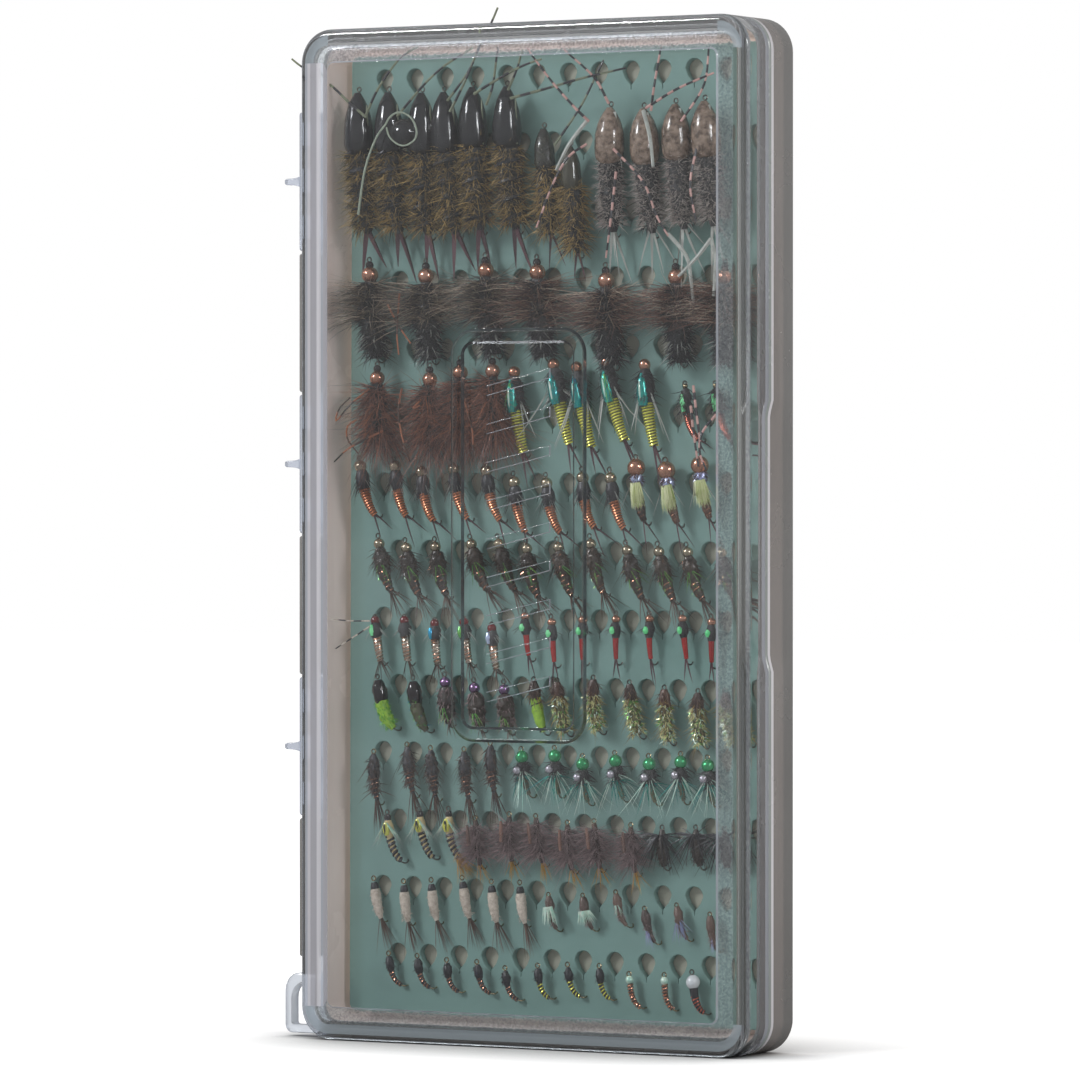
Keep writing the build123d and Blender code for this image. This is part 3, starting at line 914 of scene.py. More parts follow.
@dataclass
class Hinge:
    """Six interleaved knuckles with their gussets, stop teeth and the clear pin through them."""

    knuckles: int = 6
    length: float = 152.0
    gap: float = 0.5
    radius: float = 2.1
    end_round: float = 0.45
    end_steps: int = 4
    bore: float = 0.97
    axis_x: float = -47.9
    parting: float = -0.5
    middle_z: float = 90.0
    wall_x: float = -44.9
    gussets: int = 3
    gusset_halves: tuple[float, float] = (1.848, 2.2)
    gusset_start: float = 0.15
    gusset_reach: float = 0.96
    gusset_edge: float = 0.35
    tooth_reach: float = 4.6
    tooth_depth: float = 1.7
    tooth_edge: float = 0.15
    pin_end_wall: float = 2.0
    pin_recess: float = 0.5
    pin_dome: Pairs = ((0.54, 0.0), (0.81, 0.12), (0.9, 0.35))
    sides: int = 32

    def circle(self, radius: float, z: float) -> Ring:
        """A level circle round the hinge's axis."""
        turns = [TAU * side / self.sides for side in range(self.sides)]
        return [mm(self.axis_x + radius * cos(a), self.parting + radius * sin(a), z) for a in turns]

    def slab(self, builder: MeshBuilder, faces: tuple[float, float], z: float, stations: Iterable) -> None:
        """Adds a piece with two flat faces, lofted from each X and half height to the next."""
        near, far = faces
        corners = ((near, -1), (far, -1), (far, 1), (near, 1))
        builder.loft([[mm(x, y, z + side * half) for y, side in corners] for x, half in stations])

    def barrel(self, builder: MeshBuilder, low: float, high: float) -> None:
        """Adds one knuckle's tube with rounded ends, from a low to a high Z."""
        ends = rounding(self.end_round, self.end_steps)
        steps = [(self.bore, high), (self.bore, low)]
        steps += [(self.radius - shrink, low + rise) for rise, shrink in ends]
        steps += [(self.radius - shrink, high - rise) for rise, shrink in reversed(ends)]
        builder.loft([self.circle(radius, z) for radius, z in steps], closed=True)

    def gusset(self, builder: MeshBuilder, z: float, side: int) -> None:
        """Adds one web at a height, wider at the wall; side is -1 for the lid's and 1 for the tray's."""
        near = self.parting + side * self.gusset_start
        far = self.parting + side * self.radius * self.gusset_reach
        self.slab(builder, (near, far), z, zip((self.axis_x, self.wall_x), self.gusset_halves))

    def tooth(self, builder: MeshBuilder, z: float) -> None:
        """Adds one tapered stop tooth that stands out of a lid knuckle at a height."""
        root = self.axis_x - self.bore - 0.2
        tip = self.axis_x - self.tooth_reach
        stations = [(root, 1.0), (root - 1.0, 0.72), (root - 1.8, 0.6), (tip + 0.3, 0.56), (tip, 0.3)]
        self.slab(builder, (self.parting, self.parting - self.tooth_depth), z, stations)

    def build(self) -> None:
        """Builds the lid's knuckles, the tray's knuckles and the pin."""
        pitch = self.length / self.knuckles
        bottom = self.middle_z - self.length / 2
        sets = ((1, LID, -1, FROSTED_AND_HIGHLIGHT_LID, "clear_lid"), (0, TRAY, 1, SMOKE_TRAY, "tinted_tray"))
        for first, body, side, finish, slot in sets:
            builder = MeshBuilder(f"{body}_knuckles")
            webs = MeshBuilder(f"{body}_gussets")
            teeth = MeshBuilder("stop_teeth")
            for index in range(first, self.knuckles, 2):
                low = bottom + index * pitch + self.gap / 2
                high = low + pitch - self.gap
                self.barrel(builder, low, high)
                for web in range(self.gussets):
                    self.gusset(webs, low + (web + 0.5) * (high - low) / self.gussets, side)
                self.tooth(teeth, (low + high) / 2)
            builder.build([finish], body, slot)
            soften_edges(webs.build([finish], body, slot), self.gusset_edge)
            if body == LID:
                soften_edges(teeth.build([finish], body, slot), self.tooth_edge)
        self.build_pin(bottom)

    def build_pin(self, bottom: float) -> None:
        """Builds the pin with slightly domed ends, from the height of the knuckles' lower end."""
        low = bottom + self.pin_end_wall
        high = bottom + self.length - self.pin_recess
        builder = MeshBuilder("pin_rod")
        rings = [self.circle(radius, low + rise) for radius, rise in self.pin_dome]
        rings += [self.circle(radius, high - rise) for radius, rise in reversed(self.pin_dome)]
        builder.loft(rings)
        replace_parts(builder.build([CLEAR_PIN], TRAY, "clear_pin"), "hinge_pin")


@dataclass
class LanyardEye:
    """The clear D-shaped loop at the lid's lower corner on the hinge side."""

    outer_x: float = -52.0
    wall_x: float = -45.5
    inside_x: float = -43.2
    bottom: float = 0.6
    top: float = 11.4
    bar: float = 1.5
    web: float = 0.5
    corner: float = 3.0
    small_corners: tuple[float, float] = (1.4, 0.5)
    corner_steps: int = 6
    near: float = -0.65
    far: float = -3.15
    round: float = 0.5
    shoulder: float = 0.15

    def loop(self, shrink: float, y: float) -> Ring:
        """Makes the loop's outer edge, or its hole's edge where shrink is the bar's width.

        Args:
            shrink: How far the edge is drawn in.
            y: Its depth.

        Returns:
            The points.
        """
        hole = shrink >= self.bar
        low_x, low_z, high_z = self.outer_x + shrink, self.bottom + shrink, self.top - shrink
        high_x = self.wall_x - self.web if hole else self.inside_x
        small = self.small_corners[hole]
        outline = [(high_x, low_z), (high_x, high_z)]
        for centre_x, centre_z, radius, start in (
            (low_x + self.corner, high_z - self.corner, self.corner, 90),
            (low_x + small, low_z + small, small, 180),
        ):
            outline += arc(centre_x, centre_z, radius, start, self.corner_steps)
        return [mm(x, y, z) for x, z in outline]

    def build(self) -> None:
        """Builds the loop with rounded edges."""
        builder = MeshBuilder("lanyard_loop")
        soft, shoulder = self.round, self.shoulder
        edge = ((0, soft), (shoulder, shoulder), (soft, 0), (self.bar, 0))
        rings = [self.loop(shrink, self.near - drop) for shrink, drop in edge]
        rings += [self.loop(shrink, self.far + drop) for shrink, drop in reversed(edge)]
        builder.loft(rings, closed=True)
        # The loop takes the paler frosted copy: painted light.
        builder.build([PALE_FROST_PAINTED_LIGHT], LID, "clear_lid")


# The mat


@dataclass
class SlitMat:
    """The silicone mat with staggered rows of drop-shaped holes, each with a slit below it."""

    rows: int = 14
    columns: int = 12
    top_inset: float = 4.3
    bottom_inset: float = 10.8
    left_inset: float = 7.1
    right_inset: float = 3.1
    hole_radius: float = 1.75
    shoulder: tuple[float, float] = (0.72, 1.3)
    waist_drop: float = 2.6
    slit_length: float = 0.9
    slit_width: float = 0.1
    skin: float = 1.7
    rim_round: float = 0.18
    corner: float = 1.5
    corner_steps: int = 6
    crown_steps: int = 14
    low: Vector = field(default_factory=lambda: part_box("slit_mat")[0] / MM)
    high: Vector = field(default_factory=lambda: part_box("slit_mat")[1] / MM)

    def place(self, row: int, column: float) -> tuple[float, float]:
        """Finds a hole.

        Args:
            row: Its row, from the top.
            column: Its place in the row; odd rows are set off by half a hole.

        Returns:
            The X and Z of its widest line, in millimetres.
        """
        pitch_x = (self.high.x - self.low.x - self.left_inset - self.right_inset) / (self.columns - 0.5)
        pitch_z = (self.high.z - self.low.z - self.top_inset - self.bottom_inset) / (self.rows - 1)
        x = self.low.x + self.left_inset + (column + 0.5 * (row % 2)) * pitch_x
        return x, self.high.z - self.top_inset - row * pitch_z

    def hole(self, x: float, z: float) -> list[tuple[float, float]]:
        """Makes a round crown that narrows to a waist and runs out in a slit.

        Args:
            x: The X of its widest line.
            z: The height of its widest line.

        Returns:
            The loop's X and Z.
        """
        radius = self.hole_radius + self.rim_round
        turns = [pi * step / self.crown_steps for step in range(self.crown_steps + 1)]
        crown = [(x + radius * cos(turn), z + radius * sin(turn)) for turn in turns]
        half = self.slit_width / 2 + self.rim_round
        left = [(x - self.shoulder[0] * radius, z - self.shoulder[1]), (x - half, z - self.waist_drop)]
        left.append((x - half, z - self.waist_drop - self.slit_length))
        right = [(2 * x - side, height) for side, height in reversed(left)]
        return crown + left + right

    def outline(self) -> list[tuple[float, float]]:
        """Makes the sheet's rounded outline.

        Returns:
            The loop's X and Z.
        """
        reach = self.corner - self.rim_round
        left, right = self.low.x + self.corner, self.high.x - self.corner
        foot, head = self.low.z + self.corner, self.high.z - self.corner
        points = []
        corners = ((right, foot, -90), (right, head, 0), (left, head, 90), (left, foot, 180))
        for centre_x, centre_z, start in corners:
            points += arc(centre_x, centre_z, reach, start, self.corner_steps)
        return points

    def sheet(self) -> bpy.types.Mesh:
        """Makes the skin from a flat curve with holes, given thickness and rounded rims.

        Returns:
            The skin's mesh, in its place.
        """
        curve = bpy.data.curves.new("slit_mat_outline", "CURVE")
        curve.dimensions = "2D"
        curve.fill_mode = "BOTH"
        curve.bevel_depth = self.rim_round * MM
        curve.bevel_resolution = 2
        curve.extrude = self.skin * MM / 2 - self.rim_round * MM
        loops = [self.outline()]
        for row in range(self.rows):
            loops += [self.hole(*self.place(row, column)) for column in range(self.columns)]
        for loop in loops:
            spline = curve.splines.new("POLY")
            spline.points.add(len(loop) - 1)
            for point, (x, z) in zip(spline.points, loop):
                point.co = (x * MM, z * MM, 0, 1)
            spline.use_cyclic_u = True
        source = bpy.data.objects.new("slit_mat_outline", curve)
        mesh = bpy.data.meshes.new_from_object(source)
        bpy.data.objects.remove(source)
        bpy.data.curves.remove(curve)
        mesh.transform(Matrix.Rotation(RIGHT_ANGLE, 4, "X"))
        mesh.transform(Matrix.Translation((0, (self.low.y + self.skin / 2) * MM, 0)))
        mesh.name = "slit_mat_sheet"
        return mesh

    def build(self) -> None:
        """Builds the skin in the place of the mat's CAD node, and the backing behind it."""
        mat = finish_piece(self.sheet(), [SAGE_SILICONE], TRAY, "silicone_mat")
        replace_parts(mat, "slit_mat")
        backing = MeshBuilder("slit_mat_backing")
        levels = (self.low.y + self.skin, self.high.y - self.rim_round, self.high.y)
        backing.loft([[mm(x, y, z) for x, z in self.outline()] for y in levels])
        # The backing's beige is painted light, seen through the holes.
        backing.build([LIT_MAT_BACKING], TRAY, "silicone_mat")


# Fly tying


BLACK_SHELL = Dressing("black_shell", (0.008, 0.008, 0.01), (0.02, 0.019, 0.021), 0.12, coat=1, bumps=0)
OLIVE_SHELL = Dressing("olive_shell", (0.06, 0.055, 0.035), (0.02, 0.02, 0.018), 0.2, coat=0.9, bumps=0)
TAN_SHELL = Dressing(
    "tan_shell", (0.31, 0.225, 0.17), (0.06, 0.035, 0.022), 0.2, coat=1, share=0.15, bumps=0.03
)
DUBBING = Dressing("dark_dubbing", (0.05, 0.048, 0.048), (0.008, 0.008, 0.01), 0.7, share=0.85, bumps=0.5)
OLIVE_FUR = Dressing("olive_fur", (0.48, 0.31, 0.095), (0.035, 0.03, 0.014), 0.6, share=0.92)
GOLD_FUR = Dressing("gold_fur", (0.75, 0.50, 0.18), (0.30, 0.20, 0.07), 0.5, share=0.9)
GREY_FUR = Dressing("grey_fur", (0.62, 0.54, 0.48), (0.14, 0.12, 0.11), 0.6, share=0.92)
BROWN_HAIR = Dressing("brown_hair", (0.22, 0.17, 0.115), (0.025, 0.02, 0.018), 0.45, share=0.95)
RED_HAIR = Dressing("red_hair", (0.26, 0.125, 0.085), (0.03, 0.018, 0.016), 0.45, share=0.95)
LIGHT_HAIR = Dressing("light_hair", (0.62, 0.50, 0.38), (0.26, 0.17, 0.12), 0.4, share=0.95)
RUST_FUR = Dressing("rust_fur", (0.38, 0.155, 0.095), (0.05, 0.022, 0.02), 0.6, share=0.92)
MOUSE_FUR = Dressing("mouse_fur", (0.42, 0.30, 0.295), (0.09, 0.06, 0.062), 0.7, share=0.9)
THREAD = Dressing("black_thread", (0.012, 0.012, 0.015), (0.03, 0.028, 0.033), 0.5)
BLACK_GLASS = Dressing("black_glass", (0.012, 0.008, 0.01), (0.02, 0.014, 0.016), 0.1, coat=1, bumps=0)
COPPER_BEAD = Dressing("copper_bead", (0.88, 0.48, 0.35), (0.60, 0.28, 0.18), 0.16, metallic=0.9, bumps=0)
GOLD_BEAD = Dressing("gold_bead", (0.80, 0.68, 0.50), (0.42, 0.34, 0.24), 0.13, metallic=0.95, bumps=0)
HOOK_STEEL = Dressing("hook_steel", (0.24, 0.22, 0.19), (0.10, 0.09, 0.08), 0.28, metallic=1, bumps=0)
HOOK_GOLD = Dressing("hook_gold", (0.55, 0.45, 0.27), (0.35, 0.28, 0.18), 0.2, metallic=1, bumps=0)
PURPLE_BEAD = Dressing("purple_bead", (0.52, 0.33, 0.58), (0.40, 0.24, 0.46), 0.18, metallic=1, bumps=0)
SILVER_BEAD = Dressing(
    "silver_bead", (0.70, 0.66, 0.72), (0.56, 0.52, 0.60), 0.2, metallic=0.7, coat=0.8, bumps=0
)
GREEN_BEAD = Dressing(
    "green_bead", (0.05, 0.46, 0.18), (0.03, 0.34, 0.12), 0.16, metallic=0.6, coat=1, bumps=0
)
WHITE_BEAD = Dressing("white_bead", (0.74, 0.74, 0.73), (0.64, 0.66, 0.68), 0.2, coat=0.8, bumps=0)
TEAL = Dressing("teal_flash", (0.02, 0.46, 0.32), (0.01, 0.24, 0.28), 0.2, metallic=0.5, coat=1, bumps=0)
BLUE = Dressing("blue_flash", (0.02, 0.26, 0.70), (0.02, 0.44, 0.5), 0.2, metallic=0.5, coat=1, bumps=0)
PEARL = Dressing(
    "pearl_flash", (0.88, 0.88, 0.78), (0.40, 0.74, 0.60), 0.2, metallic=0.25, coat=0.8, share=0.4
)
LIME = Dressing("lime_flash", (0.36, 0.72, 0.12), (0.10, 0.40, 0.14), 0.25, metallic=0.4, coat=0.8)
VIOLET = Dressing("violet_flash", (0.34, 0.34, 0.66), (0.56, 0.66, 0.8), 0.25, metallic=0.4, coat=0.6)
CHARTREUSE_WIRE = Dressing(
    "chartreuse_wire", (0.80, 0.77, 0.14), (0.66, 0.64, 0.10), 0.24, metallic=0.4, bumps=0
)
ORANGE_WIRE = Dressing("orange_wire", (0.64, 0.25, 0.12), (0.40, 0.13, 0.06), 0.28, metallic=0.5, bumps=0)
RED_WIRE = Dressing("red_wire", (0.50, 0.14, 0.09), (0.36, 0.09, 0.06), 0.28, metallic=0.8, bumps=0)
COPPER_WIRE = Dressing("copper_wire", (0.66, 0.34, 0.22), (0.50, 0.24, 0.16), 0.25, metallic=0.9, bumps=0)
SILVER_WIRE = Dressing("silver_wire", (0.74, 0.66, 0.56), (0.50, 0.42, 0.33), 0.22, metallic=0.9, bumps=0)
PEACOCK = Dressing("peacock", (0.055, 0.038, 0.026), (0.014, 0.01, 0.01), 0.45, share=0.9)
RED_FLOSS = Dressing("red_floss", (0.40, 0.028, 0.024), (0.24, 0.018, 0.016), 0.22, coat=1, bumps=0.1)
MINT_DOT = Dressing("mint_dot", (0.06, 0.60, 0.18), (0.25, 0.78, 0.36), 0.3, coat=0.6, bumps=0.3)
TUFT_HAIR = Dressing("tuft_hair", (0.76, 0.75, 0.50), (0.36, 0.42, 0.12), 0.5, share=0.8)
LIME_BODY = Dressing("lime_body", (0.42, 0.66, 0.05), (0.20, 0.36, 0.03), 0.5, mottle=2200, bumps=0.4)
OLIVE_BODY = Dressing("olive_body", (0.12, 0.115, 0.05), (0.05, 0.045, 0.03), 0.5, mottle=1800, bumps=0.4)
GOLD_FLAKE = Dressing("gold_flake", (0.86, 0.78, 0.42), (0.6, 0.62, 0.3), 0.22, metallic=0.3, coat=0.8)
PHEASANT = Dressing("pheasant", (0.085, 0.036, 0.02), (0.01, 0.006, 0.006), 0.5, share=0.9)
YELLOW_SHELL = Dressing("yellow_shell", (0.76, 0.72, 0.08), (0.5, 0.5, 0.1), 0.2, coat=1, bumps=0)
ORANGE_TAIL = Dressing("orange_tail", (0.55, 0.30, 0.03), (0.30, 0.15, 0.02), 0.5, share=0.9)
BAND_FLOSS = Dressing("band_floss", (0.60, 0.47, 0.24), (0.44, 0.33, 0.16), 0.4, share=0.2)
CREAM = Dressing(
    "cream_dubbing", (0.66, 0.57, 0.48), (0.33, 0.27, 0.22), 0.8, share=0.4, mottle=1800, bumps=0.9
)
BROWN = Dressing("brown_fibre", (0.15, 0.09, 0.065), (0.05, 0.032, 0.028), 0.5, share=0.9)
PLUM = Dressing("plum_fibre", (0.11, 0.045, 0.055), (0.04, 0.02, 0.025), 0.4)
PALE = Dressing("pale_fibre", (0.46, 0.46, 0.42), (0.28, 0.29, 0.26), 0.5)
OLIVE_RUBBER = Dressing("olive_rubber", (0.19, 0.21, 0.13), (0.12, 0.13, 0.085), 0.5, share=0.2)
PALE_RUBBER = Dressing("pale_rubber", (0.30, 0.34, 0.26), (0.22, 0.25, 0.19), 0.5, share=0.2)
PINK_RUBBER = Dressing("pink_rubber", (0.58, 0.34, 0.30), (0.44, 0.25, 0.22), 0.5, share=0.2)
RUST_RUBBER = Dressing("rust_rubber", (0.40, 0.13, 0.05), (0.16, 0.06, 0.035), 0.5, share=0.9)
RUBBER = Dressing("black_rubber", (0.02, 0.02, 0.024), (0.035, 0.03, 0.035), 0.45)
RED_GLASS = Dressing("red_glass", (0.16, 0.01, 0.012), (0.10, 0.008, 0.01), 0.1, coat=1, bumps=0)


@dataclass(frozen=True)
class Pattern:
    """A kind of fly that fills some holes of one row, and all that it is tied from."""

    node: str
    row: int
    spots: Pairs
    length: float
    parts: tuple
    extras: dict[int, tuple] = field(default_factory=dict, hash=False)
    tilt: float = 6.0
    curl: float = 12.0
    straight: float = 0.3
    sink: float = 6.0
    gap: float = 2.2
    scatter: float = 1.0
    lid_side: float = -6.5
    mat_side: float = 2.55
    wall_side: float = 42.6
    smooth_angle: float = 50.0

    def build(self, mat: SlitMat) -> None:
        """Ties every fly of the group, in the place of its CAD node.

        Args:
            mat: The mat with the holes.
        """
        pile: dict[Dressing, MeshBuilder] = {}
        for index in range(len(self.spots)):
            fly = Fly(self, index, mat, pile)
            for part in (*self.parts, *self.extras.get(index, ())):
                part.tie(fly)
        pieces = [mesh.build([finish], TRAY, self.node, self.smooth_angle) for finish, mesh in pile.items()]
        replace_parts(pieces[0], self.node)


class Fly:
    """One fly: the line that its body follows, and the meshes that its materials are tied into."""

    steps = 40
    seed_count = 10**6
    gap_spread = 0.25
    tilt_spread = 4.0
    curl_spread = 6.0
    curl_power = 1.5
    strand_shares = np.array([0.0, 0.3, 0.65, 1.0])
    strand_radii = np.array([1.0, 0.9, 0.6, 0.12])
    strand_sides = 3

    def __init__(self, pattern: Pattern, index: int, mat: SlitMat, pile: dict[Dressing, MeshBuilder]) -> None:
        """Lays the fly's line from its eye down.

        Args:
            pattern: What kind of fly it is.
            index: Which of the pattern's spots it hangs at.
            mat: The mat with the holes.
            pile: The group's meshes, one for each finish, made as they are needed.
        """
        self.pattern = pattern
        self.pile = pile
        self.chance = random.Random(f"{pattern.node} {index}")
        self.dice = np.random.default_rng(self.chance.randrange(self.seed_count))
        column, rise = pattern.spots[index]
        x, z = mat.place(pattern.row, column)
        y = mat.low.y - pattern.gap - self.chance.uniform(0, self.gap_spread)
        tilt = self.varied(pattern.tilt, self.tilt_spread)
        curl = self.varied(pattern.curl, self.curl_spread)
        share = np.linspace(0, 1, self.steps + 1)
        bent = np.clip((share - pattern.straight) / (1 - pattern.straight), 0, 1) ** self.curl_power
        bend = tilt + curl * bent
        sink = radians(pattern.sink) * share**2
        way = np.stack([np.sin(bend) * np.cos(sink), np.sin(sink), -np.cos(bend) * np.cos(sink)], axis=1)
        stride = pattern.length / self.steps
        line = np.concatenate([np.zeros((1, 3)), np.cumsum((way[1:] + way[:-1]) / 2 * stride, axis=0)])
        self.line = line + np.array([x, y, z + rise])
        self.way = way
        self.along = share * pattern.length

    def varied(self, angle: float, spread: float) -> float:
        """An angle in radians, swung at random by up to a spread in degrees."""
        return radians(angle + self.chance.uniform(-spread, spread) * self.pattern.scatter)

    def frame(self, distance: float | Array) -> tuple[Array, Array, Array, Array]:
        """Follows the line.

        Args:
            distance: Distances from the eye, in millimetres.

        Returns:
            The points, the directions and two cross directions there.
        """
        distance = np.atleast_1d(np.asarray(distance, dtype=float))
        inside = np.clip(distance, 0, self.pattern.length)
        point = along_path(inside, self.along, self.line)
        way = along_path(inside, self.along, self.way)
        way /= np.linalg.norm(way, axis=1, keepdims=True)
        point += way * (distance - inside)[:, None]
        front = np.array([0.0, -1.0, 0.0]) - way * (-way[:, 1:2])
        front /= np.linalg.norm(front, axis=1, keepdims=True)
        return point, way, np.cross(front, way), front

    def mesh(self, finish: Dressing) -> MeshBuilder:
        """The group's mesh of one finish, started on first use."""
        if finish not in self.pile:
            self.pile[finish] = MeshBuilder(f"{self.pattern.node}.{finish.name}")
        return self.pile[finish]

    def surfaces(self, finish: Dressing, points: Array) -> Array:
        """Adds surfaces that each run through rings of points.

        Args:
            finish: Their finish.
            points: An array of (surface, ring, point, xyz) in millimetres.

        Returns:
            The points' places in the mesh's list.
        """
        mesh = self.mesh(finish)
        start = len(mesh.points)
        mesh.points.extend(map(tuple, (points.reshape(-1, 3) * MM).tolist()))
        index = np.arange(points.size // 3).reshape(points.shape[:3]) + start
        after = np.roll(index, -1, axis=2)
        faces = np.stack([index[:, :-1], after[:, :-1], after[:, 1:], index[:, 1:]], axis=3)
        mesh.faces.extend(map(tuple, faces.reshape(-1, 4).tolist()))
        return index

    def skin(self, finish: Dressing, rings: Array) -> None:
        """Adds one surface through (ring, point, xyz) with both ends closed."""
        index = self.surfaces(finish, rings[None])[0]
        self.mesh(finish).faces += [tuple(index[0][::-1].tolist()), tuple(index[-1].tolist())]

    def tube(self, finish: Dressing, path: Array, radii: Array, sides: int = 5) -> None:
        """Adds a round tube along a path.

        Args:
            finish: Its finish.
            path: Points in millimetres.
            radii: The radius at each point.
            sides: How many sides it has.
        """
        way = np.gradient(path, axis=0)
        way /= np.linalg.norm(way, axis=1, keepdims=True) + 1e-9
        side = np.cross(way[0], [0.31, 0.9, 0.28])
        turns = np.arange(sides) * TAU / sides
        rings = []
        for point, heading, radius in zip(path, way, radii):
            side = side - heading * np.dot(side, heading)
            side /= np.linalg.norm(side)
            other = np.cross(heading, side)
            rings.append(point + radius * (np.outer(np.cos(turns), side) + np.outer(np.sin(turns), other)))
        self.skin(finish, np.array(rings))

    def strands(
        self, finish: Dressing, roots: Array, heading: Array, bend: Array, thick: float
    ) -> None:
        """Adds many tapered fibres at once, kept clear of the walls.

        Args:
            finish: Their finish.
            roots: Where each starts, an array of (fibre, xyz) in millimetres.
            heading: The straight way that each sets out on, as long as the fibre.
            bend: How far each tip is carried off that way, as a curve.
            thick: The radius at the root.
        """
        reach = self.clear_of_walls(roots, heading + bend) - bend
        way = reach / (np.linalg.norm(reach, axis=1, keepdims=True) + 1e-9)
        first = np.cross(way, np.array([0.21, 0.37, 0.9]))
        first /= np.linalg.norm(first, axis=1, keepdims=True) + 1e-9
        second = np.cross(way, first)
        turns = np.arange(self.strand_sides) * TAU / self.strand_sides
        radii = thick * self.strand_radii[None, :, None, None]
        offset = around_line(turns, first, second)[:, None] * radii
        shares = self.strand_shares[None, :, None]
        line = roots[:, None] + reach[:, None] * shares + bend[:, None] * shares**2
        self.surfaces(finish, line[:, :, None] + offset)

    def clear_of_walls(self, roots: Array, reach: Array) -> Array:
        """Shortens the reach of fibres that would go through the lid or deep into the mat.

        Args:
            roots: Where the fibres start, in millimetres.
            reach: The way from each root to its tip.

        Returns:
            The ways, bent along the lid or the mat where they would pass it.
        """
        tips = roots + reach
        tips[:, 1] = np.clip(tips[:, 1], self.pattern.lid_side, self.pattern.mat_side)
        tips[:, 0] = np.clip(tips[:, 0], -self.pattern.wall_side, self.pattern.wall_side)
        return tips - roots


def along_path(place: Array, places: Sequence[float], values: Array) -> Array:
    """Values of three columns, interpolated between places along a path."""
    return np.stack([np.interp(place, places, values[:, axis]) for axis in range(3)], axis=1)


def around_line(turns: Array, side: Array, front: Array) -> Array:
    """Directions round each of a line's points, as an array of (point, turn, xyz)."""
    return side[:, None] * np.cos(turns)[None, :, None] + front[:, None] * np.sin(turns)[None, :, None]


@dataclass(frozen=True)
class Spun:
    """A part turned round the fly's line: thread, floss, dubbing or a shell over the back."""

    finish: Dressing
    profile: Pairs
    front: float = 0.0
    side: float = 0.0
    lumps: float = 0.0
    sides: int = 12
    stride: float = 0.35

    def tie(self, fly: Fly) -> None:
        """Adds the part to a fly, smoothed between the profile's (distance, radius) pairs."""
        places, sizes = np.array(self.profile).T
        distance = np.linspace(places[0], places[-1], max(6, int((places[-1] - places[0]) / self.stride)))
        radius = np.interp(distance, places, sizes)
        padded = np.pad(radius, 1, mode="edge")
        radius = (padded[:-2] + 2 * radius + padded[2:]) / 4
        point, _, side, front = fly.frame(distance)
        turns = np.arange(self.sides) * TAU / self.sides
        rough = 1 + self.lumps * fly.dice.uniform(-1, 1, (len(distance), self.sides))
        centre = (point + self.side * side + self.front * front)[:, None]
        spread = around_line(turns, side, front) * (radius[:, None] * rough)[:, :, None]
        fly.skin(self.finish, centre + spread)


@dataclass(frozen=True)
class Bead:
    """A drilled bead with its short cylindrical mouth."""

    finish: Dressing
    radius: float
    place: float = 0.0
    front: float = 0.0
    side: float = 0.0
    sides: int = 16

    def tie(self, fly: Fly) -> None:
        """Adds the bead to a fly."""
        turns = np.linspace(0.32, pi - 0.2, 9)
        along = self.place - self.radius * np.cos(turns)
        radius = self.radius * np.sin(turns)
        along = np.concatenate([[along[0] + 0.25 * self.radius], along])
        radius = np.concatenate([[radius[0] * 0.85], radius])
        point, _, side, front = fly.frame(along)
        centre = (point + self.side * side + self.front * front)[:, None]
        spread = around_line(np.arange(self.sides) * TAU / self.sides, side, front)
        fly.skin(self.finish, centre + spread * radius[:, None, None])


@dataclass(frozen=True)
class Hook:
    """The wire hook: its eye above the head, and its bend that goes back into the mat's slit."""

    head: float = 1.0
    finish: Dressing = HOOK_STEEL
    wire: float = 0.13
    eye: float = 0.42
    bend: float = 0.9
    bend_turn: float = 2.6
    swing: float = 15.0

    def tie(self, fly: Fly) -> None:
        """Adds the hook to a fly."""
        turns = np.linspace(-0.4, TAU - 0.5, 15)
        centre, way, side, front = (part[0] for part in fly.frame(-self.head - self.eye * 0.8))
        eye = centre + self.eye * (np.outer(np.cos(turns), way) + np.outer(np.sin(turns), side))
        fly.tube(self.finish, eye, np.full(len(eye), self.wire))
        length = fly.pattern.length
        shank = fly.frame(np.linspace(length * 0.6, length * 0.98, 6))[0]
        end, way, side, front = (part[0] for part in fly.frame(length))
        swing = radians(self.swing)
        back = side * sin(swing) - front * cos(swing)
        sweep = np.linspace(0, self.bend_turn, 10)
        arc = end + self.bend * (np.outer(np.sin(sweep), way) + np.outer(1 - np.cos(sweep), back))
        path = np.concatenate([shank, arc])
        fly.tube(self.finish, path, np.full(len(path), self.wire * 1.1))


@dataclass(frozen=True)
class Wire:
    """Wire or tinsel wound round the body, close together or as a spaced rib."""

    finish: Dressing
    start: float
    end: float
    radii: tuple[float, float]
    turns: float
    thick: float = 0.12
    steps: int = 11

    def tie(self, fly: Fly) -> None:
        """Adds the winding to a fly."""
        share = np.linspace(0, 1, max(12, int(self.turns * self.steps)))
        point, _, side, front = fly.frame(self.start + (self.end - self.start) * share)
        angle = (TAU * self.turns * share + fly.chance.uniform(0, 6))[:, None]
        radius = self.radii[0] + (self.radii[1] - self.radii[0]) * share
        path = point + radius[:, None] * (np.cos(angle) * side + np.sin(angle) * front)
        fly.tube(self.finish, path, np.full(len(path), self.thick), sides=4)


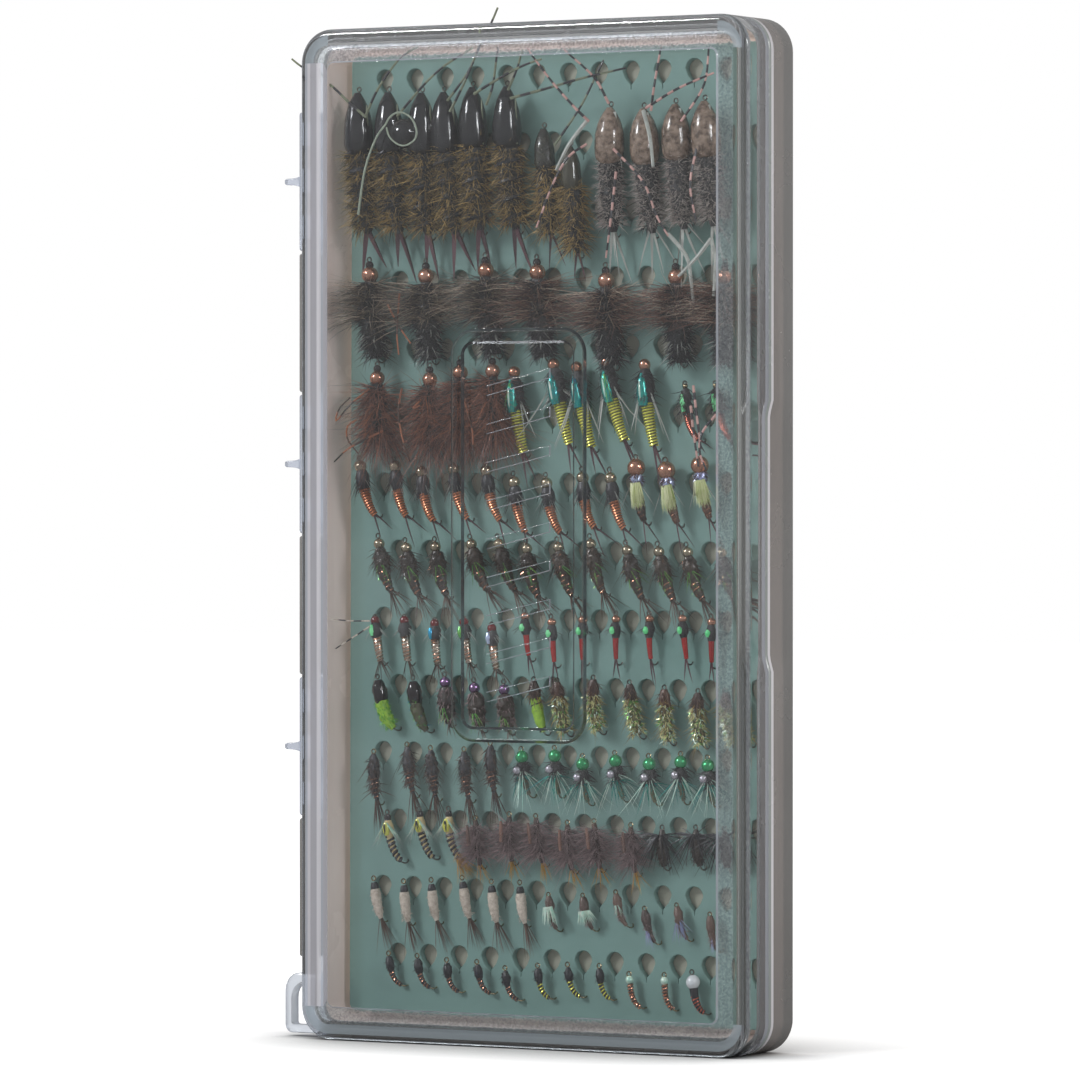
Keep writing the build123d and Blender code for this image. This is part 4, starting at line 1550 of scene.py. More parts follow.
@dataclass(frozen=True)
class Fur:
    """Dubbing, hackle or hair that stands out of the body all along it."""

    finish: Dressing
    start: float
    end: float
    radius: float
    count: int
    length: float
    lay: float = 60.0
    wild: float = 0.6
    thick: float = 0.08
    curve: float = 0.16
    droop: float = 0.2

    def tie(self, fly: Fly) -> None:
        """Adds the fur to a fly."""
        dice, cloud = fly.dice, (self.count, 3)
        point, way, side, front = fly.frame(dice.uniform(self.start, self.end, self.count))
        angle = dice.uniform(-0.5, pi + 0.5, self.count)[:, None]
        outward = np.cos(angle) * side + np.sin(angle) * front
        lay = radians(self.lay)
        heading = sin(lay) * outward + cos(lay) * way + self.wild * dice.normal(0, 0.6, cloud)
        heading /= np.linalg.norm(heading, axis=1, keepdims=True)
        length = self.length * dice.uniform(0.45, 1.15, self.count)[:, None]
        bend = length * dice.normal(0, self.curve, cloud) + way * length * self.droop
        roots = point + outward * self.radius * dice.uniform(0.6, 1.0, self.count)[:, None]
        fly.strands(self.finish, roots, heading * length, bend, self.thick)


@dataclass(frozen=True)
class Fibres:
    """A bundle tied in at one place: a tail, a tuft, legs at the sides or strands of flash."""

    finish: Dressing
    place: float
    count: int
    length: float
    heading: float = 0.0
    fan: float = 12.0
    thick: float = 0.07
    root: float = 0.3
    front: float = 0.0
    bow: float = 0.1
    paired: bool = False
    droop: float = 0.12

    def tie(self, fly: Fly) -> None:
        """Adds the bundle to a fly."""
        dice, count, fan = fly.dice, self.count, np.radians(self.fan)
        point, way, side, front = fly.frame(np.full(count, self.place))
        if self.paired:
            angle = np.where(np.arange(count) % 2, -1.0, 1.0) * np.radians(self.heading)
        else:
            angle = np.radians(self.heading) + fan * np.linspace(-1, 1, count)
        angle = (angle + fan * dice.normal(0, 0.35, count))[:, None]
        depth = dice.normal(0, 0.5, count)[:, None] * fan
        heading = np.cos(angle) * way + np.sin(angle) * side + depth * front
        length = self.length * dice.uniform(0.75, 1.1, count)[:, None]
        roots = point + side * np.sin(angle) * self.root + front * self.front
        bend = length * (self.bow * dice.normal(0, 1, (count, 3)) + self.droop * way)
        fly.strands(self.finish, roots, heading * length, bend, self.thick)


@dataclass(frozen=True)
class LooseLeg:
    """A long rubber leg, plain or barred, that runs through places given in the shared frame."""

    finish: Dressing
    bars: Dressing
    places: tuple[Point, ...]
    thick: float = 0.26
    bar_length: float = 1.4
    taper: float = 0.3
    smoothing: int = 14

    def tie(self, fly: Fly) -> None:
        """Adds the leg, in a smooth curve through its places, to a group's meshes."""
        knots = np.array(self.places)
        path = along_path(np.linspace(0, len(knots) - 1, 7 * len(knots)), range(len(knots)), knots)
        for _ in range(self.smoothing):
            path[1:-1] = (path[:-2] + 2 * path[1:-1] + path[2:]) / 4
        reach = np.concatenate([[0], np.cumsum(np.linalg.norm(np.diff(path, axis=0), axis=1))])
        bars = max(1, round(reach[-1] / self.bar_length))
        for bar in range(bars):
            share = np.linspace(bar, bar + 1, 5) / bars
            piece = along_path(share * reach[-1], reach, path)
            finish = self.bars if bar % 2 else self.finish
            fly.tube(finish, piece, self.thick * (1 - self.taper * share), sides=6)


def leg(finish: Dressing, bars: Dressing, **sizes: float) -> Callable[..., LooseLeg]:
    """Makes a kind of leg that only needs its places."""
    return lambda *places: LooseLeg(finish, bars, places, **sizes)


def fork(finish: Dressing, place: float, length: float, thick: float = 0.2, heading: float = 12) -> Fibres:
    """A forked tail of two stiff feather points."""
    return Fibres(finish, place, 2, length, heading, 6, thick, paired=True, bow=0.05)


def legs(finish: Dressing, place: float, count: int, length: float, heading: float = 38) -> Fibres:
    """Feather fibres that stand out at both sides as legs."""
    return Fibres(finish, place, count, length, heading, 22, 0.06, root=0.5, front=0.3, paired=True)


def eye_dot(finish: Dressing) -> Spun:
    """A small bright dot on a nymph's back."""
    return Spun(finish, ((0.9, 0.2), (1.6, 0.55), (2.4, 0.5), (2.9, 0.2)), front=0.85, side=-0.4)


olive_leg = leg(OLIVE_RUBBER, RUBBER, bar_length=2.4)
pink_leg = leg(PINK_RUBBER, RUBBER)
pale_leg = leg(CREAM, RUBBER, thick=0.16)
rust_leg = leg(RUST_RUBBER, PHEASANT, thick=0.18, bar_length=3.2)
pale_biot = leg(PALE, PALE, thick=0.4)
CADDIS = ((2.9, 0.95), (5, 1.05), (7.5, 0.9), (9.2, 0.4))
LOOP = (
    (-34.8, -5, 147), (-33.4, -5.3, 155.5), (-30.2, -5.8, 161.4), (-28.4, -6, 162.7), (-27.8, -6.1, 164),
    (-25.7, -6.2, 165.2), (-22.8, -6.2, 164.1), (-21.6, -6.2, 161.3), (-22.3, -6.2, 159.6),
    (-24.9, -6.2, 158.6), (-27.6, -6.2, 160.3), (-28.2, -6.1, 162.3),
)
BRIGHT_HOOK = Hook(0.1, HOOK_GOLD)
DARK_HOOK = Hook(0.1)

PATTERNS = (
    Pattern("stoneflies_dark", 2, (
        (-0.5, 21.7), (0.5, 21.6), (1.6, 21.3), (2.3, 21.3), (3.25, 22), (4.35, 21.9)
    ), 25.5, (
        Spun(DUBBING, ((1, 0.6), (4, 1.3), (11, 2), (19, 1.9), (24, 1.2), (25.5, 0.5)), lumps=0.12),
        Spun(BLACK_SHELL, ((0.2, 0.5), (1, 1.05), (2.4, 1.75), (4.5, 2.3), (7, 2.6), (9.6, 2.65),
            (10.7, 2.3), (11.2, 1.4)), front=0.5, sides=20),
        Fur(OLIVE_FUR, 10.6, 24.5, 2, 640, 2.9, lay=72, wild=0.85, thick=0.065),
        Fur(GOLD_FUR, 10.6, 24.5, 2.3, 60, 3.4, lay=80, wild=1, thick=0.06),
        Fur(DUBBING, 10.4, 24.5, 2, 300, 2.8, lay=65, wild=0.7), Wire(THREAD, 11, 24, (2.7, 2.2), 4, 0.38),
        Spun(OLIVE_RUBBER, ((2.5, 0.12), (6, 0.25), (10.5, 0.2)), front=1, side=2.2, sides=6),
        fork(PLUM, 24.5, 8.6, 0.55, 13), legs(PLUM, 9, 2, 7, 30), DARK_HOOK,
    ), {
        2: (Bead(BLACK_SHELL, 2.65, 7.4, front=2.3, side=-2.3),),
        0: (
            olive_leg((-34.5, -3, 164.5), (-38, -3, 167), (-43, -2, 171), (-50, -0.5, 174),
                (-52, -0.5, 175.5)),
            olive_leg((-34.5, -3, 165), (-31.5, -4, 169.5), (-26, -5, 175), (-22.5, -5, 176.5)),
            LooseLeg(PALE_RUBBER, PALE_RUBBER, LOOP, thick=0.22),
        ),
        1: (
            olive_leg((-28, -3, 164.5), (-21, -5, 170), (-17, -5, 173), (-11, -5, 176)),
            olive_leg((-17.5, -3, 167), (-14, -4, 170), (-11.5, -4, 173.5)),
        ),
        3: (
            olive_leg((-17, -3, 165), (-13, -4, 170.5), (-11, -4, 175), (-9.5, -1, 181.5), (-9, -0.5, 183.2)),
            olive_leg((-12, -3, 168), (-6.5, -5, 170), (-1, -5, 172.5), (3, -5, 173.5)),
        ),
        5: (
            olive_leg((-4.5, -3, 167), (5, -5, 168.5), (11.5, -5, 170), (19.5, -4, 171.5)),
            olive_leg((-9.5, -3, 166), (-7.5, -4, 169), (-7, -4, 172.5), (-6.5, -4, 176)),
            olive_leg((-5, -3, 168.5), (-2.5, -4, 172), (-1.5, -4, 175.5)),
        ),
    }, tilt=2, curl=4, sink=5, gap=3.2, scatter=0.5),
    Pattern("stonefly_olive", 2, ((5.5, 14.3), (6.35, 11)), 19, (
        Spun(DUBBING, ((1, 0.6), (4, 1.3), (10, 1.9), (16, 1.6), (19, 0.5)), lumps=0.12),
        Spun(OLIVE_SHELL, ((0.2, 0.45), (1.2, 1.1), (3, 1.75), (6.6, 1.95), (7.8, 1.3)), front=0.5, sides=16),
        Fur(OLIVE_FUR, 7, 18.5, 1.8, 480, 3, lay=72, wild=0.85, thick=0.065),
        Fur(GOLD_FUR, 7, 18.5, 2, 90, 3.2, lay=80, wild=0.9, thick=0.06),
        Fur(DUBBING, 7, 18.5, 1.8, 150, 2.4, lay=45), fork(PLUM, 18.5, 6, 0.28, 15), DARK_HOOK,
    ), {
        1: (
            olive_leg((4.5, -3, 158.5), (10.5, -4, 165), (13, -4, 169.5), (15, -4, 173)),
            pink_leg((11, -3, 158.5), (9, -6, 156.5), (6, -6, 152), (2, -5, 144)),
        ),
    }, tilt=2, curl=4, sink=5, gap=2.8, scatter=0.5),
    Pattern("stoneflies_tan", 2, ((7.65, 17.6), (8.7, 17.2), (9.7, 17.8), (10.6, 18.2)), 22, (
        Spun(DUBBING, ((1, 0.6), (4, 1.3), (10, 2.1), (17, 1.9), (21, 1), (22, 0.5)), lumps=0.12),
        Spun(TAN_SHELL, ((0.2, 0.5), (1, 1.2), (2.4, 2), (4.5, 2.6), (7.5, 2.75), (9.4, 2.5), (10.1, 1.4)),
            front=0.5, sides=20, lumps=0.01),
        Fur(GREY_FUR, 9.6, 21, 2, 900, 1.9, lay=95, wild=0.8, thick=0.055),
        Fur(DUBBING, 9.6, 21, 2, 130, 2, wild=0.8), fork(PALE, 21, 9, 0.34, 11),
        Fibres(PALE, 20.5, 2, 8, 2, 26, 0.24, bow=0.05),
        Fibres(PALE, 1, 1, 8, 12, 3, 0.35, root=8, front=1, bow=0.02), DARK_HOOK,
    ), {
        0: (
            pink_leg((11.5, -3, 162.5), (10, -5, 164.5), (5, -5, 169.5), (0, -5, 175.5)),
            pink_leg((15.5, -3, 165.5), (14, -5, 170), (7.5, -5, 175)),
            pink_leg((16.5, -3, 157.5), (24.5, -6, 151.5), (26.5, -6, 145.5), (28.5, -5, 142)),
            pink_leg((17, -3, 153.5), (17.5, -6, 144.5), (15.5, -4, 138.5)),
            pale_biot((11, -3, 162.5), (8.5, -5, 158.5), (6, -5, 154)),
        ),
        1: (
            pink_leg((24, -3, 164), (25, -4, 167.5), (26.5, -4, 175)),
            pink_leg((23, -3, 164.5), (30, -5, 167.5), (37.5, -5, 170)),
            pale_biot((22.5, -3, 164), (25.5, -6, 159), (26, -6, 154)),
        ),
        3: (
            pink_leg((30, -3, 162), (35.5, -4, 168), (36, -4, 174.5)),
            pink_leg((33.5, -3, 158.5), (32.5, -5, 151), (34, -5, 144.5)),
            pale_biot((35.5, -2, 141.5), (37, -3, 138), (36.5, -3, 131.5)),
            pale_biot((27, -2, 142.5), (32, -4, 138.5), (32.5, -4, 134.5), (32.5, -3, 130.5)),
            pale_biot((35.5, -2, 141.5), (34, -4, 138.5), (30, -4, 135)),
        ),
    }, tilt=1, curl=4, sink=5, gap=3.2, scatter=0.5),
    Pattern("leech_nymphs", 3, (
        (-0.7, 1), (1.15, 0.6), (3.1, 1.4), (4.75, 0.9), (6.95, -0.8), (9.15, -0.4), (10.65, -0.6)
    ), 15, (
        Bead(BLACK_GLASS, 0.75, -1.75), Bead(COPPER_BEAD, 1.5),
        Spun(DUBBING, ((1, 0.8), (2, 1.5), (6, 2), (11, 1.9), (15, 0.9)), lumps=0.2),
        Fur(DUBBING, 1.2, 9, 1.4, 260, 3.2, lay=70), Fur(THREAD, 8.5, 14.8, 1.6, 320, 2.6, lay=66, wild=0.7),
        Fur(PALE, 8.5, 14.5, 1.6, 26, 2.6, lay=66, wild=0.25, thick=0.1),
        Fibres(PALE, 9, 2, 4, 24, 12, 0.3, root=1.3, front=0.5, paired=True), Hook(2.4),
    ), {
        index: (
            Fur(BROWN_HAIR if index < 3 else RED_HAIR, 1.8, 8.2, 0.9, 330, 10.5, lay=98, wild=0.16,
                thick=0.06),
            Fur(LIGHT_HAIR, 1.8, 8.4, 1.2, 90, 10, lay=99, wild=0.2, thick=0.06),
            Fur(THREAD, 2, 8.8, 0.9, 150, 8, lay=95, wild=0.22, thick=0.06),
        )
        for index in range(7)
    }, tilt=2, curl=5, gap=2.6),
    Pattern("rust_buggers", 5, ((-0.4, 6.6), (1.3, 6.3), (2.3, 7.5), (3.35, 7.7)), 12, (
        Bead(BLACK_GLASS, 0.7, -1.7), Bead(COPPER_BEAD, 1.35),
        Spun(DUBBING, ((1, 0.8), (2, 1.3), (8, 1.5), (12, 0.8)), lumps=0.2),
        Fur(DUBBING, 0.6, 3, 1, 90, 1.8, wild=0.5, thick=0.05),
        Fur(RUST_FUR, 1.5, 11, 1.2, 620, 6, lay=74, wild=0.9, thick=0.06),
        Fur(DUBBING, 1.5, 12, 1, 260, 5.5, lay=70, wild=0.9, thick=0.06),
        Fur(RUST_RUBBER, 2.5, 10, 1.6, 50, 5, lay=55, wild=0.8, thick=0.11),
        Fibres(RUST_FUR, 8, 190, 8.5, 8, 40, 0.06, root=1.2, bow=0.26),
        Fibres(MOUSE_FUR, 8, 70, 8, 8, 34, 0.06, root=1.2, bow=0.26), Hook(2.2),
    ), {
        0: (
            rust_leg((-34.5, -2, 116), (-37, -5, 113), (-40.5, -4, 109.5), (-40.5, -3, 112.5),
                (-38.5, -2, 114.5)),
            rust_leg((-27, -3, 116), (-26, -6, 112), (-25, -6, 107), (-24, -5, 103)),
            rust_leg((-31, -3, 108.5), (-37, -5, 105.5), (-40.5, -4, 103)),
            rust_leg((-36.5, -3, 110.5), (-38, -4, 109.5), (-38, -4, 107), (-35.5, -4, 104.5)),
            rust_leg((-30, -3, 131), (-27, -4, 127), (-24.5, -4, 124)),
            rust_leg((-27.5, -3, 133), (-27.5, -4, 126), (-27, -4, 122)),
        ),
        2: (
            rust_leg((-23, -3, 114), (-24, -5, 112), (-22, -5, 113)),
            rust_leg((-14, -3, 114), (-11, -5, 108.5), (-11, -5, 103)),
        ),
    }, tilt=2, curl=5, gap=3),
    Pattern("flash_wire_nymphs", 5, ((4, 7.5), (5.25, 8.8), (6, 8.2), (6.95, 9.1), (8.15, 8.5)), 14.5, (
        Bead(COPPER_BEAD, 1.1), Spun(DUBBING, ((0.7, 0.8), (2, 1.4), (5, 1.5), (7, 1)), lumps=0.15),
        Fur(DUBBING, 1, 6.5, 1.2, 130, 2.2, lay=50, wild=0.5),
        Spun(TEAL, ((1.4, 0.3), (2.8, 0.95), (5.5, 1.1), (7.1, 0.85)), front=0.9, side=-0.3, sides=16),
        Spun(PEARL, ((2.8, 0.05), (3.6, 0.2), (5.4, 0.18), (6.2, 0.05)), front=1.95, side=-0.4, sides=8),
        Spun(OLIVE_BODY, ((6.6, 1.08), (14.2, 0.68))),
        Wire(CHARTREUSE_WIRE, 6.7, 14.3, (1.16, 0.76), 15, 0.17),
        Fibres(PALE, 3, 4, 9, 20, 10, 0.22, root=1.3, front=0.6, bow=0.2, paired=True),
        fork(PLUM, 14, 6, 0.3, 9), DARK_HOOK,
    ), {
        0: (Fibres(LIME, 2, 3, 5, -4, 9, 0.1, root=0.8, front=1.7, bow=0.02),),
        2: (Fibres(BLUE, 2, 4, 5, -4, 12, 0.16, root=0.8, front=1.6, bow=0.02),),
        3: (Fibres(LIME, 2.2, 2, 5, 0, 5, 0.12, root=0.8, front=1.8, bow=0.02),),
        4: (Fibres(TEAL, 2.2, 4, 5, -4, 10, 0.13, root=0.8, front=1.6, bow=0.02),),
    }, tilt=8, curl=10, gap=2.4),
    Pattern("red_wire_nymphs", 5, ((9.4, 4.7), (10.35, 4.7)), 10, (
        Bead(HOOK_GOLD, 0.5), Spun(DUBBING, ((0.4, 0.5), (2, 1), (4, 1), (5, 0.7)), lumps=0.2),
        Fur(DUBBING, 0.5, 4.5, 0.9, 90, 2.2, lay=50, wild=0.5),
        Spun(MINT_DOT, ((1.4, 0.25), (2.6, 0.55), (4.4, 0.35)), front=0.8, side=-0.3),
        Spun(THREAD, ((4.2, 0.62), (9.8, 0.4))), Wire(RED_WIRE, 4.3, 9.8, (0.7, 0.46), 15, 0.15),
        fork(PLUM, 9.6, 4, 0.2, 16), DARK_HOOK,
    ), {
        0: (
            pink_leg((32.5, -3, 116), (34, -5, 112), (35, -5, 105)),
            pink_leg((37, -3, 111), (35, -5, 108), (34.5, -5, 104.5), (36, -5, 101.5)),
            pink_leg((32, -3, 112.5), (33.5, -5, 108), (34.5, -5, 102)),
        ),
    }, tilt=8, curl=38, straight=0.4, gap=2.2, sink=10),
    Pattern("orange_wire_nymphs", 6, (
        (-0.5, 2.9), (0.65, 2.9), (1.5, 1.9), (2.55, 2.4), (3.6, 2.1), (4.5, 0.1), (5.55, -0.1), (6.7, 0.9),
            (7.6, 0.8)
    ), 9.2, (
        Bead(GOLD_BEAD, 1.1), Spun(THREAD, ((0.8, 0.85), (1.6, 1.2), (3, 1.2), (4.1, 0.8)), lumps=0.06),
        Fur(DUBBING, 1, 3.8, 1, 60, 1.6, lay=30, wild=0.35), legs(PALE, 1.6, 8, 4.2, 26),
        legs(DUBBING, 1.6, 12, 4.6, 30), Spun(PHEASANT, ((3.9, 0.82), (9.1, 0.44))),
        Wire(ORANGE_WIRE, 4, 9.2, (0.9, 0.5), 11, 0.2), fork(PLUM, 9, 5, 0.2, 20), Hook(1.2),
    ), tilt=9, curl=26, straight=0.35, gap=2.6, sink=10),
    Pattern("tuft_nymphs", 6, ((8.4, 2.6), (9.35, 2.1), (10.4, 3)), 9.5, (
        Bead(COPPER_BEAD, 1.65), Spun(VIOLET, ((1, 0.7), (1.6, 1.15), (2.6, 1.1), (3.2, 0.7)), lumps=0.2),
        Fur(PLUM, 1.1, 3, 1, 80, 1), Fur(VIOLET, 1.1, 3, 1.1, 30, 0.7, thick=0.1),
        Fibres(LIME_BODY, 2.6, 40, 3.4, 2, 6, 0.11, root=4, front=0.9, bow=0.06),
        Fibres(TUFT_HAIR, 2.6, 140, 3.8, 2, 7, 0.1, root=5, front=1.2, bow=0.06),
        Spun(PHEASANT, ((4, 0.9), (7.5, 0.85), (9.4, 0.5)), lumps=0.15),
        Wire(COPPER_WIRE, 6.8, 9.2, (0.85, 0.5), 3, 0.12),
        Fibres(PALE, 2.2, 2, 6, 32, 6, 0.13, root=0.9, front=0.8, bow=0.02, paired=True),
        fork(PLUM, 9.2, 6, 0.17, 12), Hook(1.4, wire=0.16, eye=0.5),
    ), tilt=6, curl=12, gap=2.6),
    Pattern("peacock_nymphs", 7, (
        (-0.4, 1.1), (0.5, 0.4), (1.45, 0.6), (2.6, 1.1), (3.5, 1.2), (4.4, 0.4), (5.4, 0.7), (6.45, 1.3),
            (7.6, 0.2), (8.6, 0), (9.5, -0.1), (10.55, -0.2)
    ), 9, (
        Bead(GOLD_BEAD, 1),
        Spun(PEACOCK, ((0.8, 0.8), (2.2, 1.45), (4, 1.3), (6.5, 0.95), (9, 0.5)), lumps=0.16),
        Fur(PEACOCK, 0.9, 4.6, 1.1, 120, 1.6, lay=50), Fur(LIME, 3, 7.5, 1.1, 16, 0.5),
        legs(PHEASANT, 1.6, 12, 4.8, 36), Wire(COPPER_WIRE, 4.2, 8.8, (1.1, 0.58), 5, 0.14),
        Fibres(LIME, 3.4, 4, 3.2, 14, 22, 0.1, root=1, front=1.1),
        Fur(COPPER_WIRE, 1.2, 5, 1.3, 22, 0.7, wild=0.8, thick=0.09),
        Fibres(BROWN, 8.6, 13, 5.4, -2, 26, 0.1), Hook(1.1),
    ), tilt=12, curl=18, gap=2.4),
    Pattern("silver_rib_nymphs", 8, (
        (-0.05, -0.4), (0.9, -0.3), (1.9, -0.8), (2.85, -0.5), (3.75, -1.5)
    ), 7.6, (
        Bead(RED_GLASS, 0.85, 0.2),
        Spun(DUBBING, ((0.6, 0.7), (1.4, 1.1), (2.6, 1.1), (3.4, 0.7)), lumps=0.15),
        Spun(CREAM, ((2.8, 0.6), (7.5, 0.4))), Wire(SILVER_WIRE, 3, 7.5, (0.68, 0.5), 8, 0.22),
        Wire(COPPER_WIRE, 3, 7.4, (0.8, 0.6), 7, 0.1), legs(PALE, 1.2, 10, 3.2, 40),
        Fibres(BROWN, 7.2, 9, 4.2, 0, 30, 0.1), DARK_HOOK,
    ), {
        2: (eye_dot(BLUE),),
        3: (eye_dot(LIME),),
        4: (eye_dot(VIOLET),),
        0: (
            eye_dot(MINT_DOT), pale_leg((-35, -1, 74.5), (-39, -2, 74.5), (-42.3, -2, 74.8)),
            pale_leg((-35, -1, 73.5), (-38, -2, 71.5), (-41.5, -2, 69.5)),
        ),
    }, tilt=4, curl=6, gap=2.2),
    Pattern("red_body_nymphs", 8, (
        (4.8, 0.4), (5.65, -0.6), (6.65, -0.1), (7.7, 0.1), (8.75, 0.2), (9.8, 0.3), (10.7, -0.2)
    ), 7.2, (
        Bead(COPPER_BEAD, 0.72, -0.1), Bead(COPPER_BEAD, 0.6, -0.1, side=0.35),
        Spun(DUBBING, ((0.4, 0.6), (1.4, 1), (2.4, 0.9), (3.2, 0.6)), lumps=0.15),
        Spun(MINT_DOT, ((1.2, 0.25), (1.7, 0.6), (2.2, 0.55), (2.5, 0.2)), front=0.75, side=-0.3, lumps=0.06),
        Spun(RED_FLOSS, ((2.5, 0.6), (4.6, 0.52), (6.9, 0.4)), sides=16), legs(DUBBING, 1.4, 10, 2.4, 62),
        fork(PLUM, 6.8, 4.2, 0.2, 9), Hook(0.8, eye=0.4),
    ), tilt=3, curl=4, gap=2),
    Pattern("grub_caddis", 9, ((-0.45, 1), (0.7, 0.9)), 9.5, (
        Spun(BLACK_GLASS, ((0.2, 0.6), (1, 1.15), (2, 1.35), (3.6, 1.3), (4.6, 1)), lumps=0.1),
        Fur(LIME, 1, 4, 1.1, 26, 0.6, thick=0.1), DARK_HOOK,
    ), {
        0: (
            Spun(LIME_BODY, ((4, 1.15), (6, 1.2), (8, 1.05), (9.5, 0.5)), lumps=0.14, sides=14),
            Fur(LIME, 4, 9, 1.35, 130, 0.7, lay=30, wild=0.5, thick=0.09),
        ),
        1: (
            Spun(OLIVE_BODY, ((4, 1.1), (6, 1.15), (8, 1), (9.5, 0.5)), lumps=0.14, sides=14),
            Fur(LIME, 3, 9, 1, 60, 0.7, thick=0.09), Fur(BLUE, 3, 9, 1, 20, 0.7, thick=0.09),
        ),
    }, tilt=8, curl=32, straight=0.35, gap=2.3, sink=8),
    Pattern("purple_bead_nymphs", 9, ((1.75, 0.6), (2.7, -0.3), (3.65, -0.5)), 7.4, (
        Bead(PURPLE_BEAD, 1),
        Spun(PEACOCK, ((0.8, 0.8), (1.8, 1.5), (4, 1.6), (6, 1.2), (7.4, 0.6)), lumps=0.16),
        Fur(MOUSE_FUR, 0.9, 6.5, 1.3, 130, 1.4, lay=45),
        Fibres(LIME, 4.5, 5, 3, 0, 18, 0.1, root=0.8, front=1.4), Fibres(BROWN, 7, 7, 3, 0, 20, 0.09),
        Hook(1.1),
    ), tilt=4, curl=6, gap=2.2),
    Pattern("olive_caddis", 9, (
        (4.6, 1.1), (5.35, 1), (6.5, 1.6), (7.65, 0.9), (8.75, 0.1), (9.8, -0.4), (10.65, -0.2)
    ), 9.2, (
        Spun(PHEASANT, ((0, 0.5), (0.8, 0.9), (2, 1.1), (3.4, 0.9)), lumps=0.14),
        Fur(BROWN, 0.5, 3.2, 0.9, 80, 1.7, lay=40, wild=0.5), legs(ORANGE_TAIL, 1.6, 8, 3.4, 24), Hook(0),
    ), {
        0: (Spun(LIME_BODY, CADDIS, lumps=0.1, sides=14), Wire(THREAD, 3.2, 9, (1.02, 0.6), 5, 0.14)),
    } | {
        index: (
            Spun(OLIVE_BODY, CADDIS, lumps=0.16, sides=14),
            Fur(LIME, 2.6, 9, 1.3, 50, 0.8, wild=0.7, thick=0.11),
            Fur(GOLD_FLAKE, 2.6, 9, 1.3, 150, 0.9, wild=0.7, thick=0.11),
            Fur(OLIVE_FUR, 1.6, 9, 1.2, 60, 2.4, lay=45, wild=0.7, thick=0.06),
            Fur(PEARL, 2.6, 9, 1.3, 50, 0.8, wild=0.7, thick=0.13),
        )
        for index in range(1, 7)
    }, tilt=4, curl=16, gap=2.2),
    Pattern("pheasant_nymphs", 10, ((-0.1, -0.4), (1, 1), (1.75, 0.5), (2.85, 0.4), (3.7, 1.6)), 8.5, (
        Spun(THREAD, ((0, 0.4), (1, 0.8), (3, 1.1), (4.6, 0.8), (6, 0.6), (8.5, 0.35)), lumps=0.2),
        Fur(PHEASANT, 0.6, 7, 0.8, 150, 1.4, lay=46), legs(PHEASANT, 1.2, 10, 4.6, 30),
        Wire(COPPER_WIRE, 4.2, 8.2, (0.95, 0.5), 5, 0.09),
        Fibres(PHEASANT, 7.6, 18, 6, 0, 17, 0.1, root=0.5, bow=0.04), BRIGHT_HOOK,
    ), {
        0: (fork(PHEASANT, 6.5, 4, 0.1, 70),),
    }, tilt=3, curl=5, gap=2),
    Pattern("green_bead_nymphs", 10, (
        (4.7, -0.3), (5.75, 0), (6.65, -1.3), (7.7, -0.6), (8.75, -1), (9.75, -0.5), (10.6, -1)
    ), 6.8, (
        Bead(GREEN_BEAD, 1.2), Spun(DUBBING, ((1, 0.8), (1.8, 1.25), (2.8, 1.1), (3.6, 0.6)), lumps=0.2),
        Fur(THREAD, 0.9, 3.8, 1, 110, 1.7, lay=70, wild=0.5),
        Bead(SILVER_BEAD, 0.75, 2.2, front=1.2, side=-0.6), Fur(TEAL, 3, 6.5, 0.6, 16, 0.6, thick=0.09),
        Spun(OLIVE_BODY, ((3, 0.55), (5, 0.55), (6.8, 0.35)), lumps=0.1),
        Fibres(PEARL, 2.4, 10, 6.4, 8, 40, 0.09, root=0.8, front=0.8),
        Fibres(TEAL, 3.4, 12, 4.2, 4, 50, 0.09, root=1.4, front=1), Hook(1.1, HOOK_GOLD),
    ), tilt=4, curl=14, gap=2),
    Pattern("banded_emergers", 11, ((-0.15, 0.8), (0.9, 1.6), (1.85, 1.8)), 8.8, (
        Spun(BLACK_GLASS, ((0, 0.5), (0.6, 0.65), (1.2, 0.5))),
        Spun(BAND_FLOSS, ((1, 0.55), (2, 0.9), (3.2, 0.9), (4, 0.65)), lumps=0.1),
        Spun(YELLOW_SHELL, ((1.3, 0.3), (2, 0.8), (3, 0.8), (3.6, 0.35)), front=0.6, side=-0.15, sides=16),
        Fibres(THREAD, 1.6, 5, 2, 0, 14, 0.1, root=0.2, front=1.4),
        Spun(BAND_FLOSS, ((3.6, 0.62), (8.7, 0.4))), Wire(THREAD, 3.8, 8.8, (0.62, 0.4), 6, 0.3),
        legs(PALE, 1.6, 14, 4.6, 34),
        Fibres(PEARL, 1.4, 12, 3.4, 34, 10, 0.1, root=0.4, front=0.9, paired=True), DARK_HOOK,
    ), {
        2: (
            Fibres(ORANGE_TAIL, 8.6, 60, 4, -8, 26, 0.07, root=0.5),
            Fur(ORANGE_TAIL, 7.8, 9.4, 0.4, 60, 1.6, lay=50, thick=0.06),
        ),
    }, tilt=4, curl=38, straight=0.3, gap=2, sink=8),
    Pattern("fuzzy_emergers", 11, (
        (2.75, 0.3), (3.85, 1.2), (4.7, 1), (5.7, 0), (6.55, 0.4), (7.7, -0.1)
    ), 8, (
        Spun(PHEASANT, ((0, 0.4), (2, 0.8), (5, 0.8), (8, 0.4)), lumps=0.1),
        Fur(MOUSE_FUR, 1, 6.5, 0.6, 640, 4.2, lay=84, thick=0.055),
        Spun(RED_HAIR, ((0.6, 0.2), (2, 0.34), (4.2, 0.28)), front=3, lumps=0.2),
        Fibres(ORANGE_TAIL, 7.4, 12, 3.8, 2, 20, 0.09), BRIGHT_HOOK,
    ), tilt=4, curl=6, gap=2.4),
